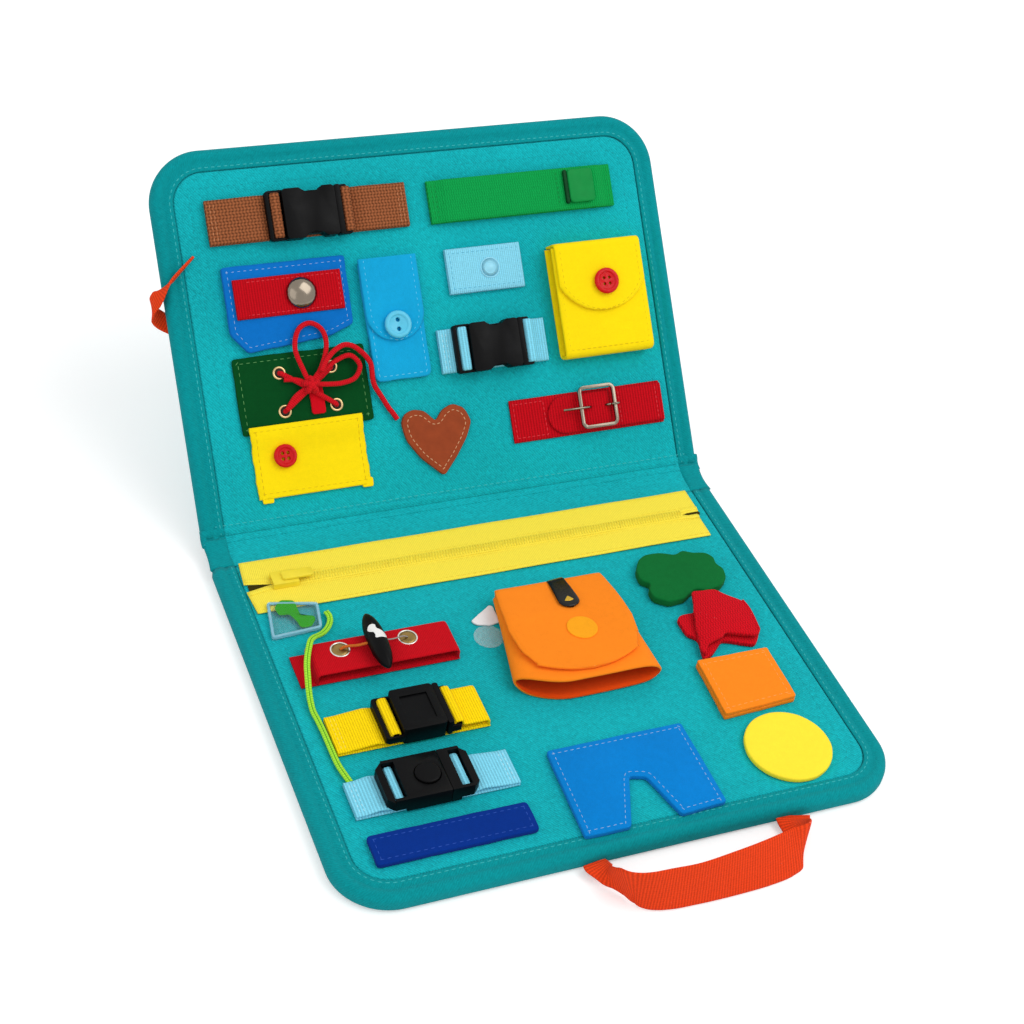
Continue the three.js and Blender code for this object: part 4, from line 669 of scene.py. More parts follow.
def panel_cover(depth):
    """A felt cover: its outline carried up through a low rim, over a groove and onto the flat face."""
    levels = (
        (6.0, -8.7), (2.0, -8.7), (1.6, -8.2), (1.6, -1.4), (12.4, -1.2), (12.7, -0.35), (13.1, -0.08), (13.8, 0.0),
    )
    count = len(dense(panel_outline(depth, 0, FOLD_GAP), 2.0, 0))
    rings = []
    for inset, level in levels:
        p = dense(panel_outline(depth, inset, FOLD_GAP), 2.0, 0)
        share = np.linspace(0, 1, len(p) + 1)
        p = sampled(np.linspace(0, 1, count, endpoint=False), share, np.concatenate([p, p[:1]]))
        rings.append(np.column_stack([p, np.full(count, level)]))
    centre, last = np.array([0, depth / 2]), rings[-1][:, :2]
    for share in (0.06, 0.15, 0.3, 0.5, 0.75):
        rings.append(np.column_stack([last + (centre - last) * share, np.zeros(count)]))
    return ended(np.array(rings), [*centre, levels[0][1]], [*centre, 0.0])


BINDING = np.array([
    [12.0, -1.0], [12.15, -0.3], [11.9, 0.12], [11.2, 0.3], [9.0, 0.3], [7.6, -0.4], [7.0, -0.4], [5.6, 0.5],
    [3.8, 0.75], [2.1, 0.35], [1.1, -0.6], [0.35, -1.6], [0.05, -2.8], [0.0, -4.5], [0.05, -6.2], [0.35, -7.4],
    [1.1, -8.4], [2.3, -8.9], [4.0, -9.0], [9.0, -9.0], [11.4, -9.0], [12.0, -8.6], [12.0, -8.1], [2.0, -8.0],
    [1.3, -7.0], [1.3, -2.0], [2.0, -1.1],
])


def panel_binding(depth):
    """The woven edge tape: its section carried along the panel's rim, with faint puckers on the corners."""
    x = WIDTH / 2
    side = np.linspace(FOLD_GAP, depth - ROUND, 60)[:-1]
    middle = np.linspace(x - ROUND, ROUND - x, 80)[1:-1]
    right, left = far_corners(x, depth, ROUND, 26)
    path = np.concatenate([
        np.stack([np.full(len(side), x), side], -1), right, np.stack([middle, np.full(len(middle), depth)], -1),
        left, np.stack([np.full(len(side), -x), side[::-1]], -1),
    ])
    along = unit(np.gradient(path, axis=0))
    inward = np.stack([-along[:, 1], along[:, 0]], -1)
    s = run_length(path)
    flat = path[:, None] + inward[:, None] * BINDING[None, :, :1]
    wave = 0.05 * np.sin(s / 2.1)[:, None] * np.sin(np.pi * np.clip(BINDING[:, 0] / 12, 0, 1))
    level = BINDING[:, 1] + wave * (BINDING[:, 1] > -0.5)
    points = np.concatenate([flat, level[..., None]], -1)
    texture = np.stack(np.broadcast_arrays(s[:, None], run_length(BINDING)[None]), -1)
    return ended(points, texture=texture)


def flipped(surface):
    """A panel's surface turned half round, so that it runs from the fold towards the front."""
    v, q, t, uv = surface
    return np.column_stack([-v[:, 0], LOWER_DEPTH / 2 - v[:, 1], v[:, 2]]), q, t, uv


def rim_path(depth, inset, start=0.5):
    """The panel's rim at an inset, from one end of the fold round to the other."""
    p = panel_outline(depth, inset, start, 24)
    return np.concatenate([p[1:], p[:1]])


class Parts:
    """The places of the pieces, as in the CAD source."""

    brown = on_upper(-0.2143, 0.805)
    green = on_upper(0.21, 0.802)
    pocket = on_upper(-0.277, 0.574)
    cyan = on_upper(-0.0807, 0.506)
    lacing = on_upper(-0.274, 0.3495)
    patch = on_upper(-0.28, 0.1735)
    heart = on_upper(-0.0295, 0.165)
    snap_loop = on_upper(0.1125, 0.611)
    sky = on_upper(0.106, 0.4)
    pouch = on_upper(0.3348, 0.4876)
    belt = on_upper(0.28, 0.186)
    side_loop = on_upper(-0.5, 0.618)
    zip = on_lower(-0.004, 0.4149)
    clear = on_lower(-0.3965, 0.297)
    toggle = on_lower(-0.2883, 0.1355)
    yellow = on_lower(-0.2833, -0.064)
    push = on_lower(-0.2883, -0.2415)
    navy = on_lower(-0.2905, -0.378)
    orange = on_lower(0.055, 0.0763)
    cloud = on_lower(0.3273, 0.2068)
    trunk = on_lower(0.338, 0.037)
    square = on_lower(0.323, -0.1487)
    circle = on_lower(0.3287, -0.344)
    trousers = on_lower(0.0397, -0.3415)


class BoardColours(bpy.types.PropertyGroup):
    """Colours that a user would change."""

    teal: bpy.props.StringProperty(
        name="Board felt", description="Six-digit colour of the panels' felt", default="#12aeb6")
    binding: bpy.props.StringProperty(
        name="Edge tape", description="Six-digit colour of the woven edge tape", default="#069096")
    brown: bpy.props.StringProperty(
        name="Brown strap", description="Six-digit colour of the brown webbing", default="#8d5232")
    green: bpy.props.StringProperty(
        name="Green strap", description="Six-digit colour of the green webbing", default="#0c9a48")
    sky: bpy.props.StringProperty(
        name="Sky straps", description="Six-digit colour of the light blue webbing", default="#7fd4ec")
    red: bpy.props.StringProperty(
        name="Red pieces", description="Six-digit colour of the red webbing and felt", default="#cc0c1c")
    yellow: bpy.props.StringProperty(
        name="Yellow pieces", description="Six-digit colour of the yellow felt", default="#fddf0e")
    orange: bpy.props.StringProperty(
        name="Orange pieces", description="Six-digit colour of the orange felt", default="#ff8a1e")
    handle: bpy.props.StringProperty(
        name="Handle", description="Six-digit colour of the carry handle", default="#e8431a")


class BoardSizes(bpy.types.PropertyGroup):
    """Sizes of the surface detail that a user would change."""

    stitch: bpy.props.FloatProperty(
        name="Stitch length", description="Length of one stitch", default=0.0027, unit="LENGTH", subtype="DISTANCE")
    stitch_pitch: bpy.props.FloatProperty(
        name="Stitch pitch", description="Distance from one stitch to the next", default=0.0042,
        unit="LENGTH", subtype="DISTANCE")
    rib: bpy.props.FloatProperty(
        name="Webbing rib", description="Distance between the webbing's ribs", default=0.0016,
        unit="LENGTH", subtype="DISTANCE")
    rim: bpy.props.FloatProperty(
        name="Plastic rim", description="Rounding of the moulded edges", default=0.00045,
        unit="LENGTH", subtype="DISTANCE")


def colours():
    """The colours as set in the scene."""
    return bpy.context.scene.board_colours


def sizes():
    """The sizes as set in the scene."""
    return bpy.context.scene.board_sizes


def stitched(path, level, **words):
    """Stitches of the set length and pitch."""
    usual = {"width": 0.45, "height": 0.2, "pitch": sizes().stitch_pitch * 1000, "length": sizes().stitch * 1000}
    return seam(path, level, **{**usual, **words})


def sew(name, path, level, face, thread, body=None, **words):
    """Stitches along a path as an object."""
    return build(f"{name}_stitches", stitched(path, level, **words), face, thread, body=body)


def inset_path(outline, inset, step=1.0, soften=3):
    """An outline walked at even steps and moved inwards."""
    p = dense(outline, step, soften)
    return p + inwards(p) * inset


def border(name, outline, inset, level, face, thread, body=None, soften=3, **words):
    """A closed row of stitches inside an outline as an object."""
    return sew(name, inset_path(outline, inset, soften=soften), level, face, thread, body, closed=True, **words)


def webbing_material(name, code, rib=None, thread=1.1, variation=0.5, strength=0.8, shift=0.15, cells=0.16):
    """Woven tape with ribs and threads of the given millimetres."""
    return cloth(
        name, code, "weave", variation=variation, strength=strength, depth=0.35, rough=0.85, sheen=0.02,
        Rib=rib or sizes().rib * 1000, Thread=thread, Shift=shift, Cells=cells,
    )


def plastic_black():
    """The black plastic of the buckles and the toggle."""
    return hard("Black plastic", "#040405", rough=0.42, scuffs=0.15, grain=0.2, specular=0.09)


def thread_material(name, code):
    """Sewing thread."""
    return hard(name, code, rough=0.8, scuffs=0.1, grain=0.3, specular=0.2)


class BOARD_OT_panels(bpy.types.Operator):
    """Builds the felt covers, the edge tape and the soft spine"""

    bl_idname = "board.panels"
    bl_label = "Panels"

    def execute(self, context):
        felt = cloth("Board felt", colours().teal, "twill", variation=0.7, strength=0.75, depth=0.35, Pitch=1.5)
        tape = cloth("Edge tape", colours().binding, "twill", variation=0.45, strength=0.6, depth=0.3, Pitch=1.5)
        thread = thread_material("Teal thread", "#3fbcbe")
        dark = thread_material("Dark teal thread", "#0b929a")
        for name, depth, turn in (("lower", LOWER_DEPTH, flipped), ("upper", UPPER_DEPTH, lambda s: s)):
            build(f"{name}_cover", turn(panel_cover(depth)), name, felt,
                  replaces=[f"{name}_felt_cover", f"{name}_stiffener"])
            build(f"{name}_edge_tape", turn(panel_binding(depth)), name, tape,
                  replaces=[f"{name}_binding"])
            fold = [[3 - WIDTH / 2, 6.0], [WIDTH / 2 - 3, 6.0]]
            rows = (
                ("tape", rim_path(depth, 10.2), 0.3, 3.6, 2.2, 0.5, 0.22, thread),
                ("felt", rim_path(depth, 21.0), -0.1, 3.8, 2.4, 0.4, 0.2, dark),
                ("fold", fold, -0.05, 3.8, 2.6, 0.5, 0.24, thread if name == "upper" else dark),
            )
            for row, path, level, pitch, length, width, height, made in rows:
                stitches = stitched(path, level, pitch=pitch, length=length, width=width, height=height)
                build(f"{name}_{row}_stitches", turn(stitches), name, made)
        s = np.linspace(0, 1, 15)
        along = np.column_stack([np.zeros(15), s * (SPINE_WIDTH - FOLD_GAP), -1.9 - 0.9 * np.sin(np.pi * s)])
        middle = strip(along, [1, 0, 0], WIDTH / 2 - 12.5, 2.6, columns=41)
        build("spine_felt", middle, "spine", felt, replaces=["spine"])
        for side, name in ((-1, "left"), (1, "right")):
            centre = along + [side * (WIDTH / 2 - 6.4), 0, 0.1]
            pinch = 6.0 - 0.8 * np.sin(np.pi * s)
            build(f"spine_tape_{name}", strip(centre, [1, 0, 0], pinch, 3.6, columns=9), "spine", tape)
        self.fold("felt", 0, WIDTH / 2 - 12.5, felt)
        for side, name in ((-1, "left"), (1, "right")):
            self.fold(f"tape_{name}", side * (WIDTH / 2 - 6.15), 6.12, tape, 3.4)
        return {"FINISHED"}

    def fold(self, name, middle, half, material, thick=1.1):
        """Cloth over the upper fold: it dips into the fold and rises to a soft ridge on the upper panel."""
        low = (thick - 1.1) / 2
        spine = place([[middle, SPINE_WIDTH - 3.4, -1.2 - low], [middle, SPINE_WIDTH - 0.6, -1.1 - low]], "spine")
        panel = place([[middle, 0.9, -0.7 - low], [middle, 2.6, 0.2 - low], [middle, 4.6, -0.3 - low]], "upper")
        line = rounded(np.concatenate([spine, panel]) * 1000, 0.5, 4)
        obj = build(f"fold_{name}", strip(line, [1, 0, 0], half, thick, columns=41), None, material, body="blend")
        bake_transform(obj)


# Straps

WEB = 1.4
LOW = 1.0
HIGH = 2.7
SEAT = 2.0


def over_bar(from_x, bar_x, width, top, loop=False):
    """Webbing from an end over a bar and down beside it. A looped end turns down to the low layer in a bend."""
    way = math.copysign(1, bar_x - from_x)
    reach = width / 2 + 1.0
    crest = top + 1.0
    level = 5.5 if loop else 4.3
    first = [[from_x, HIGH], [from_x + way * 5, HIGH]]
    if loop:
        edge = from_x + way * 0.7
        first = [[edge, LOW], [edge, level - 1.2], [edge + way * 0.5, level - 0.3], [edge + way * 1.4, level]]
    if not loop and abs(bar_x - from_x) > 18:
        first.append([bar_x - way * (reach + 8), level])
        level = 3.0
    return first + [
        [bar_x - way * (reach + 1.5), level], [bar_x - way * reach, level + 0.7],
        [bar_x - way * reach, crest - 0.6], [bar_x - way * (reach - 0.7), crest], [bar_x + way * (reach - 0.7), crest],
        [bar_x + way * reach, crest - 0.6], [bar_x + way * reach, LOW],
    ]


def across_panel(p, at):
    """A side view of run and height as a line across a panel."""
    return np.column_stack([at[0] + p[:, 0], np.full(len(p), at[1]), p[:, 1]])


def up_panel(p, at):
    """A side view of run and height as a line up a panel."""
    return np.column_stack([np.full(len(p), at[0]), at[1] + p[:, 0], p[:, 1]])


def webbing_strip(line, at, half, thick=WEB, sag=0.0):
    """A strap of a half width, with its side view as a line of run and height. Sag is a low wave in its middle."""
    p = rounded(line, 0.5, 3)
    crown = sag * np.sin(run_length(p) / 9.0)[:, None] * (1 - np.linspace(-1, 1, 13) ** 2)
    return strip(across_panel(p, at), [0, 1, 0], half, thick, crown=crown)


def strap_pieces(at, length, width, bars):
    """The layer along the panel, and one more from each end over a bar."""
    half = width / 2
    base = webbing_strip([[-length / 2, LOW], [length / 2, LOW]], at, half)
    return [base] + [
        webbing_strip(over_bar(end * length / 2, x, bar, top, loop), at, half - 0.1) for end, x, bar, top, loop in bars
    ]


def moving_end(name, piece, face, material):
    """The layer over a moving buckle's bar, built where it lies, attached to no body and baked in place."""
    obj = build(name, piece, face, material, body="blend")
    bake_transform(obj)
    return obj


def cross_line(at, half):
    """A straight line across a strap."""
    return [[at[0], at[1] - half], [at[0], at[1] + half]]


def strap_seams(at, length, width, inset=3.0, ends=(-1, 1)):
    """Two rows of stitches across each sewn end."""
    rows = []
    for end in ends:
        for step in (0, 2.2):
            line = cross_line([at[0] + end * (length / 2 - inset + 0.6 - step), at[1]], width / 2 - 1.5)
            rows.append(stitched(line, HIGH + WEB / 2 - 0.1, pitch=3.0, length=2.0))
    return joined(rows)


class BOARD_OT_straps(bpy.types.Operator):
    """Builds the buckled straps and the green strap"""

    bl_idname = "board.straps"
    bl_label = "Straps"

    def execute(self, context):
        c = colours()
        brown = webbing_material("Brown webbing", c.brown, rib=1.9, thread=1.7, variation=0.95, shift=1.1, cells=0.6)
        sky = webbing_material("Sky webbing", c.sky, rib=1.6)
        yellow = webbing_material("Yellow webbing", "#ffd90a", rib=1.3)
        wide = 24.0
        for name, face, at, length, shell, share, web, code, ends in (
            ("brown", "upper", Parts.brown, 114.5, 30.0, 0.124, brown, "#c98a62", (-1, 1)),
            ("sky", "upper", Parts.sky, 65.0, 29.5, 0.21, sky, "#c4ecf6", (-1,)),
            ("yellow", "lower", Parts.yellow, 80.3, 23.0, 0.2, yellow, "#fbe26a", (-1,)),
        ):
            top, mouth = SEAT + 6.0, length * share
            bar = mouth + 6.8
            low, left, right = strap_pieces(at, length, wide, [
                (-1, mouth - shell - 3.5, 2.2, top, False), (1, bar, 2.2, top, name == "yellow"),
            ])
            build(f"{name}_webbing", joined([low, left]), face, web, replaces=[f"{name}_strap"])
            moving_end(f"{name}_webbing_end", right, face, web)
            build(f"{name}_webbing_stitches", strap_seams(at, length, wide, ends=ends), face,
                  thread_material(f"{name} thread", code))
        at, length = Parts.push, 84.3
        x, top = -0.04 * length, SEAT + 5
        low, left, right = strap_pieces(at, length, 21.5, [
            (-1, x - 17, 1.6, top, False), (1, x + 17, 1.6, top, False),
        ])
        build("push_webbing", joined([low, left]), "lower", sky, replaces=["push_strap"])
        moving_end("push_webbing_end", right, "lower", sky)
        build("push_webbing_stitches", strap_seams(at, length, 21.5), "lower", thread_material("sky thread", "#c4ecf6"))
        self.green(c)
        return {"FINISHED"}

    def green(self, c):
        """The green strap: two layers sewn at the ends, the upper one standing a little, and a plain clasp."""
        at, length, high = Parts.green, 113.4, 4.4
        half = length / 2
        green = webbing_material("Green webbing", c.green, rib=1.4, thread=1.4, variation=0.5, shift=1.2)
        base = webbing_strip([[-half, LOW], [half, LOW]], at, 11.8)
        line = [[-half, HIGH], [5 - half, HIGH], [10 - half, high], [half - 10, high], [half - 5, HIGH], [half, HIGH]]
        top = webbing_strip(line, at, 11.7, sag=0.15)
        build("green_webbing", joined([base, top]), "upper", green, replaces=["green_strap"])
        moulded = hard("Green plastic", "#078a3e", rough=0.5, scuffs=0.15, grain=0.15, specular=0.12)
        middle = at + [length * 0.315, 0.9]
        lid = round_rectangle(15.5, 19.3, 2.2, middle)
        build("green_clasp", slab(lid, 4.9, 3.2, edge=0.7, crown=0.2, wobble=0, soften=1, step=0.8), "upper", moulded)
        lip = slab(round_rectangle(2.2, 19.6, 0.9, middle - [8.9, 0]), 4.9, 2.4, wobble=0, soften=1, step=0.5)
        build("green_clasp_lip", lip, "upper", hard("Dark green plastic", "#033f1c", rough=0.5, specular=0.1))
        beside = cross_line(middle - [14, 0], 9.5)
        rows = [strap_seams(at, length, 23.6), stitched(beside, 5.0, pitch=2.6, length=1.8)]
        build("green_webbing_stitches", joined(rows), "upper", thread_material("green thread", "#0a7c38"))


# Buckles and other hard pieces that keep the CAD shape


class BOARD_OT_hardware(bpy.types.Operator):
    """Rounds and colours the buckles, buttons, snap cap, belt frame and prong, and the zip slider"""

    bl_idname = "board.hardware"
    bl_label = "Hardware"

    def execute(self, context):
        rim = sizes().rim * 1000
        black = plastic_black()
        red = hard("Red plastic", "#cc0610", rough=0.3, scuffs=0.1, grain=0.05, specular=0.2)
        cyan = hard("Cyan plastic", "#58c4e4", rough=0.3, scuffs=0.1, grain=0.05, specular=0.3)
        nickel = hard("Nickel", "#83796c", rough=0.16, metal=1.0, scuffs=0.1, grain=0.03)
        brass = hard("Zip metal", "#f4de3a", rough=0.45, metal=0.05, scuffs=0.2, grain=0.1, specular=0.25)
        for node, body in (
            ("brown_buckle_socket", "upper_panel"), ("brown_buckle_prong", "brown_prong"),
            ("sky_buckle_socket", "upper_panel"), ("sky_buckle_prong", "sky_prong"),
            ("yellow_buckle_socket", "lower_panel"), ("yellow_buckle_prong", "yellow_prong"),
            ("push_buckle_body", "lower_panel"), ("push_buckle_tongue", "buckle_tongue"),
            ("push_button", "button_of_buckle"),
        ):
            dressed_copy(node, black, body, rim)
        for node, material, body, *edge in (
            ("patch_button", red, "upper_panel", 0.3), ("pouch_button", red, "yellow_pouch_flap", 0.3),
            ("cyan_button", cyan, "cyan_pocket_flap", 0.3), ("snap_cap", nickel, "snap_tab", 0.3, 50),
            ("belt_frame", nickel, "buckle_frame", 0.7, 30, 4), ("belt_prong", nickel, "buckle_prong", 0.05, 80),
            ("zip_slider", brass, "zip_pull", 0.35),
        ):
            dressed_copy(node, material, body, *edge)
        return {"FINISHED"}


# Felt pockets and pouches


def flap(at, half, end_radius, thick, line):
    """A flap along a side view of run and height: its half width is straight, then follows a circle to its tip."""
    p = rounded(line, 0.7, 4)
    s = run_length(p)
    from_tip = s[-1] - s
    circle = np.sqrt(np.maximum(end_radius**2 - np.maximum(end_radius - from_tip, 0) ** 2, 0))
    wide = np.clip(np.where(from_tip < end_radius, circle, half), 0.3, half)
    centre = up_panel(p, at)
    taper = np.minimum(1, 0.35 + from_tip / (2 * thick))
    return strip(centre, [1, 0, 0], wide, thick * taper, columns=21), centre, wide


def cut_flat(centre, wide):
    """Works out the area of the flat piece that a strip of felt or tape was cut from, and does nothing more with it."""
    s = run_length(centre)
    area = float(((wide[1:] + wide[:-1]) * np.diff(s)).sum()) / 1e6


def flap_edge(centre, wide, inset, skip=0.0):
    """The path of stitches round a flap's free edge."""
    keep = wide > inset + 0.5
    c, w = centre[keep, :2], wide[keep, None] - inset
    tip = c[-1:] - [0, inset * 0.2]
    if skip:
        go = run_length(centre[keep]) > skip
        c, w = c[go], w[go]
    return np.concatenate([c - w * [1, 0], tip, (c + w * [1, 0])[::-1]])


class BOARD_OT_pockets(bpy.types.Operator):
    """Builds the blue and cyan pockets, the yellow and orange pouches and their flaps"""

    bl_idname = "board.pockets"
    bl_label = "Pockets and pouches"

    def execute(self, context):
        self.blue()
        self.cyan()
        self.yellow()
        self.orange()
        return {"FINISHED"}

    def blue(self):
        """The blue pocket with its stitched border, and the red snap strap across it."""
        at, width, height = Parts.pocket, 70.4, 47.9
        shares = [[-0.5, 0.5], [-0.5, -0.27], [-0.38, -0.5], [0.3, -0.41], [0.49, -0.3], [0.5, 0.5]]
        outline = shaped(shares, width, height, at)
        felt = cloth("Blue felt", "#0a6fc4", variation=0.5)
        body = slab(outline, 0.3, 3.2, edge=0.9, crown=0.15, wobble=0.2)
        build("blue_pocket_felt", body, "upper", felt, replaces=["blue_pocket"])
        border("blue_pocket", outline, 3.0, 3.42, "upper", thread_material("White thread", "#b4cbe0"),
               pitch=3.4, length=1.9, width=0.3)
        red = webbing_material("Red webbing", "#bb0a18", rib=1.5, thread=1.2, variation=0.55)
        middle = at + [width * 0.002, height * 0.113]
        band = webbing_strip([[-30.6, 4.5], [30.6, 4.5]], middle, 10.5)
        hem = webbing_strip([[-30.4, 4.6], [-24, 4.6]], middle, 10.3, thick=1.5)
        build("red_snap_band", joined([band, hem]), "upper", red, body="snap_tab", replaces=["red_snap_strap"])
        border("red_snap", rectangle(58, 18, middle), 0.0, 5.1, "upper", thread_material("Red thread", "#e0414a"),
               "snap_tab", pitch=2.8, length=1.9)

    def cyan(self):
        """The cyan pocket, its flap with a round end, and a dashed border."""
        at, flap_length = Parts.cyan, 47.3
        felt = cloth("Cyan felt", "#14a4d8", variation=0.5)
        thread = thread_material("Cyan thread", "#74d2ec")
        outline = round_rectangle(33.4, 68.9, 3.0, at)
        build("cyan_pocket_felt", slab(outline, 0.3, 3.2, edge=0.8, crown=0.1, wobble=0.2, phase=2), "upper", felt,
              replaces=["cyan_pocket"])
        border("cyan_pocket", outline, 2.6, 3.4, "upper", thread, pitch=3.6, length=2.2)
        made, centre, wide = flap(at, 16.6, 16.7, 1.6, [[34.45, 4.6], [34.45 - flap_length, 4.6]])
        obj = build("cyan_flap_felt", made, "upper", felt, body="cyan_pocket_flap", replaces=["cyan_flap"])
        cut_flat(centre, wide)
        sew("cyan_flap", flap_edge(centre, wide, 2.6), 5.25, "upper", thread, "cyan_pocket_flap", pitch=3.4, length=2.1)

    def yellow(self):
        """The yellow pouch: a soft box open at the top and left, and a flap that comes over its front."""
        at, half, tall = Parts.pouch, 27.5, 32.25
        felt = cloth("Yellow felt", colours().yellow, variation=0.28, strength=0.4)
        thread = thread_material("Yellow thread", "#e2c206")
        line = [
            [tall, 1.3], [2.5 - tall, 1.3], [1 - tall, 2.4], [1 - tall, 9.0], [2.5 - tall, 10.4], [tall - 0.5, 10.4],
        ]
        p = rounded(line, 1.0, 4)
        front = np.clip((p[:, 1] - 8) / 2.4, 0, 1)
        crown = -0.45 * front[:, None] * (np.cos(np.linspace(-1, 1, 25) * 1.4) - 0.6)
        body = strip(up_panel(p, at), [1, 0, 0], half, 1.9, columns=25, crown=crown)
        side_line = rounded([[2 - tall, 5.9], [tall - 1, 5.9]], 2.0, 0)
        wall = strip(up_panel(side_line, at + [half - 0.9, 0]), [0, 0, 1], 4.3, 1.7, columns=7)
        build("yellow_pouch_felt", joined([body, wall]), "upper", felt, replaces=["yellow_pouch"])
        inner, low = half - 2.4, 4.5 - tall
        path = rounded([[-inner, tall - 4], [-inner, low], [inner, low], [inner, tall - 4]] + at, 1.0, 4)
        sew("yellow_pouch", path, 11.3, "upper", thread, pitch=3.4, length=2.2, width=0.5, height=0.25)
        top, back, flap_length = 12.95, tall + 1.15, 41
        line = [[back, 0.9], [back, top - 1.2], [back - 1.2, top], [back + 0.85 - flap_length, top]]
        made, centre, wide = flap(at, 26.5, 30.0, 1.7, line)
        obj = build("yellow_flap_felt", made, "upper", felt, body="yellow_pouch_flap", replaces=["yellow_flap"])
        cut_flat(centre, wide)
        sew("yellow_flap", flap_edge(centre, wide, 2.6, skip=14), top + 0.72, "upper", thread, "yellow_pouch_flap",
            pitch=3.4, length=2.2, width=0.5, height=0.25)

    def orange(self):
        """The orange pouch: a soft wedge open at the front, painted darker and redder inside as shade, with its flap
        and what the flap carries.
        """
        at, back = Parts.orange, 36.25
        felt = cloth("Orange felt", colours().orange, variation=0.3, strength=0.45)
        outer = self.wedge(at, np.linspace(0, 1, 40), 0.0)
        inner = self.wedge(at, np.linspace(1, 0.13, 34), 1.9)
        shell = np.concatenate([outer, (outer[-1:] + inner[:1]) / 2 + [0, -0.7, 0], inner])
        made = ended(shell)
        obj = build("orange_pouch_felt", made, "lower", felt, replaces=["orange_pouch"])
        # Darker, redder felt on the inner faces: painted shade inside the pouch's opening.
        obj.data.materials.append(cloth("Orange lining", "#e2480c", variation=0.3, strength=0.45))
        face = np.arange(len(obj.data.polygons))
        inside = (face // shell.shape[1] >= len(outer)) & (face < len(made[1]))
        obj.data.polygons.foreach_set("material_index", inside.astype(np.int32))
        height = self.orange_flap(at, back, felt)
        dot = slab(circle_outline(8.4, at + [4.0, -4.8]), 0.0, 0.9, edge=0.4, wobble=0.1, lift=height)
        build("orange_dot", dot, "lower", cloth("Amber felt", "#fda61c", variation=0.3), body="orange_pouch_flap")
        self.tab(at, back, height)

    def orange_flap(self, at, back, felt):
        """The orange flap, wide in its middle and round at its tip. Gives the height of its upper side."""
        width = 72.2
        line = [[back + 1.1, 4.6], [back + 1.1, 9.6], [back - 0.6, 11.3], [10.875, 14.2], [back - 69.4, 15.6]]
        p = rounded(line, 0.8, 8)
        s = run_length(p)
        from_tip = s[-1] - s
        runs, shares = [0, 2.6, 9.8, 21, 34, 55, 66, 72, 80], [0.02, 0.24, 0.39, 0.455, 0.475, 0.45, 0.43, 0.41, 0.4]
        wide = width * np.interp(from_tip, runs, shares)
        wide = np.where(from_tip < 9, width * np.sqrt(np.maximum(from_tip, 0) / 9) * 0.395 + 0.3, wide)
        aside = at[0] - 0.7 + 2.6 * np.clip((from_tip - 20) / 50, 0, 1)
        centre = np.column_stack([aside, at[1] + p[:, 0], p[:, 1]])
        crown = -0.35 * np.linspace(-1, 1, 25) ** 2 * np.clip((s - 8) / 20, 0, 1)[:, None]
        obj = build("orange_flap_felt", strip(centre, [1, 0, 0], wide, 1.6, columns=25, crown=crown), "lower", felt,
                    body="orange_pouch_flap", replaces=["orange_flap"])
        cut_flat(centre, wide)
        height = lambda x, y: np.interp(-y, -centre[8:, 1], centre[8:, 2]) + 0.66
        thread = thread_material("Orange thread", "#ffa552")
        sew("orange_flap", flap_edge(centre, wide, 2.8, skip=10), 0, "lower", thread, "orange_pouch_flap",
            surface=height, pitch=3.6, length=2.3, height=0.22)
        return height

    def tab(self, at, back, height):
        """The black tab that comes over the fold of the flap, with a small gold leaf on it as a painted glint."""
        black = hard("Black patent", "#060606", rough=0.25, scuffs=0.1, grain=0.1, specular=0.25)
        t = np.linspace(0, 1, 18)
        y = at[1] + back - 72.5 * (0.005 + 0.345 * t)
        tab = np.column_stack([at[0] + 5.4 - 0.6 * t, y, height(0, y) + 0.75 + 0.5 * np.sin(np.pi * t) + 0.5 * t])
        half = (4.4 + 1.5 * t) * np.sqrt(np.maximum(1 - np.maximum((t - 0.76) / 0.245, 0) ** 2, 0.03))
        build("black_tab_strap", strip(tab, [1, 0.2, 0], half, 1.2, columns=9), "lower", black,
              body="orange_pouch_flap", replaces=["black_tab"])
        # A small gold metal leaf on the tab paints the glint seen on it.
        gold = hard("Gold foil", "#c9a23a", rough=0.25, metal=1.0)
        leaf = np.array([[-2.9, -1.3], [0.4, -1.9], [2.9, -1.2], [0.2, 2.2]]) + tab[13, :2]
        build("black_tab_painted_glint", slab(leaf, tab[13, 2] + 0.5, 0.45, edge=0.2, wobble=0, step=0.5), "lower", gold,
              body="orange_pouch_flap")

    def wedge(self, at, s, inset):
        """Sections of the pouch along it: a low lens, higher and wider towards the front, where the middle bulges
        forward and the left side stays back."""
        lens = dense([
            [-0.85, 0], [-1, 0.4], [-0.98, 0.64], [-0.88, 0.9], [-0.7, 1], [0.7, 1], [0.88, 0.9], [0.98, 0.64],
            [1, 0.4], [0.85, 0],
        ], 0.09, 3)
        xs, zs = lens.T
        s = s[:, None]
        half = (66 + 14.5 * s) / 2 - inset
        high = np.interp(s, [0, 0.35, 1], [9.5, 12.5, 14.0])
        front = np.clip((s - 0.7) / 0.3, 0, 1)
        sag = 0.5 * np.sin(3.1 * xs + 0.6) * front * np.clip((zs - 0.6) / 0.4, 0, 1)
        height = (high - 2 * inset) * zs + 0.3 + inset + np.minimum(sag, 0)
        y = at[1] + 36.25 - s * (72.5 - 12 * np.clip((-xs - 0.25) / 0.75, 0, 1) ** 2)
        bulge = 1.6 * (1 - xs**2) * front * (1 - 0.6 * zs)
        return np.stack([at[0] + 80.5 * (0.04 - 0.0655 * s) + half * xs, y - bulge, height], -1)


def circle_outline(radius, at, count=64):
    """A circle's outline."""
    a = TURN * np.arange(count) / count
    return np.stack([at[0] + radius * np.cos(a), at[1] + radius * np.sin(a)], -1)


# Lacing


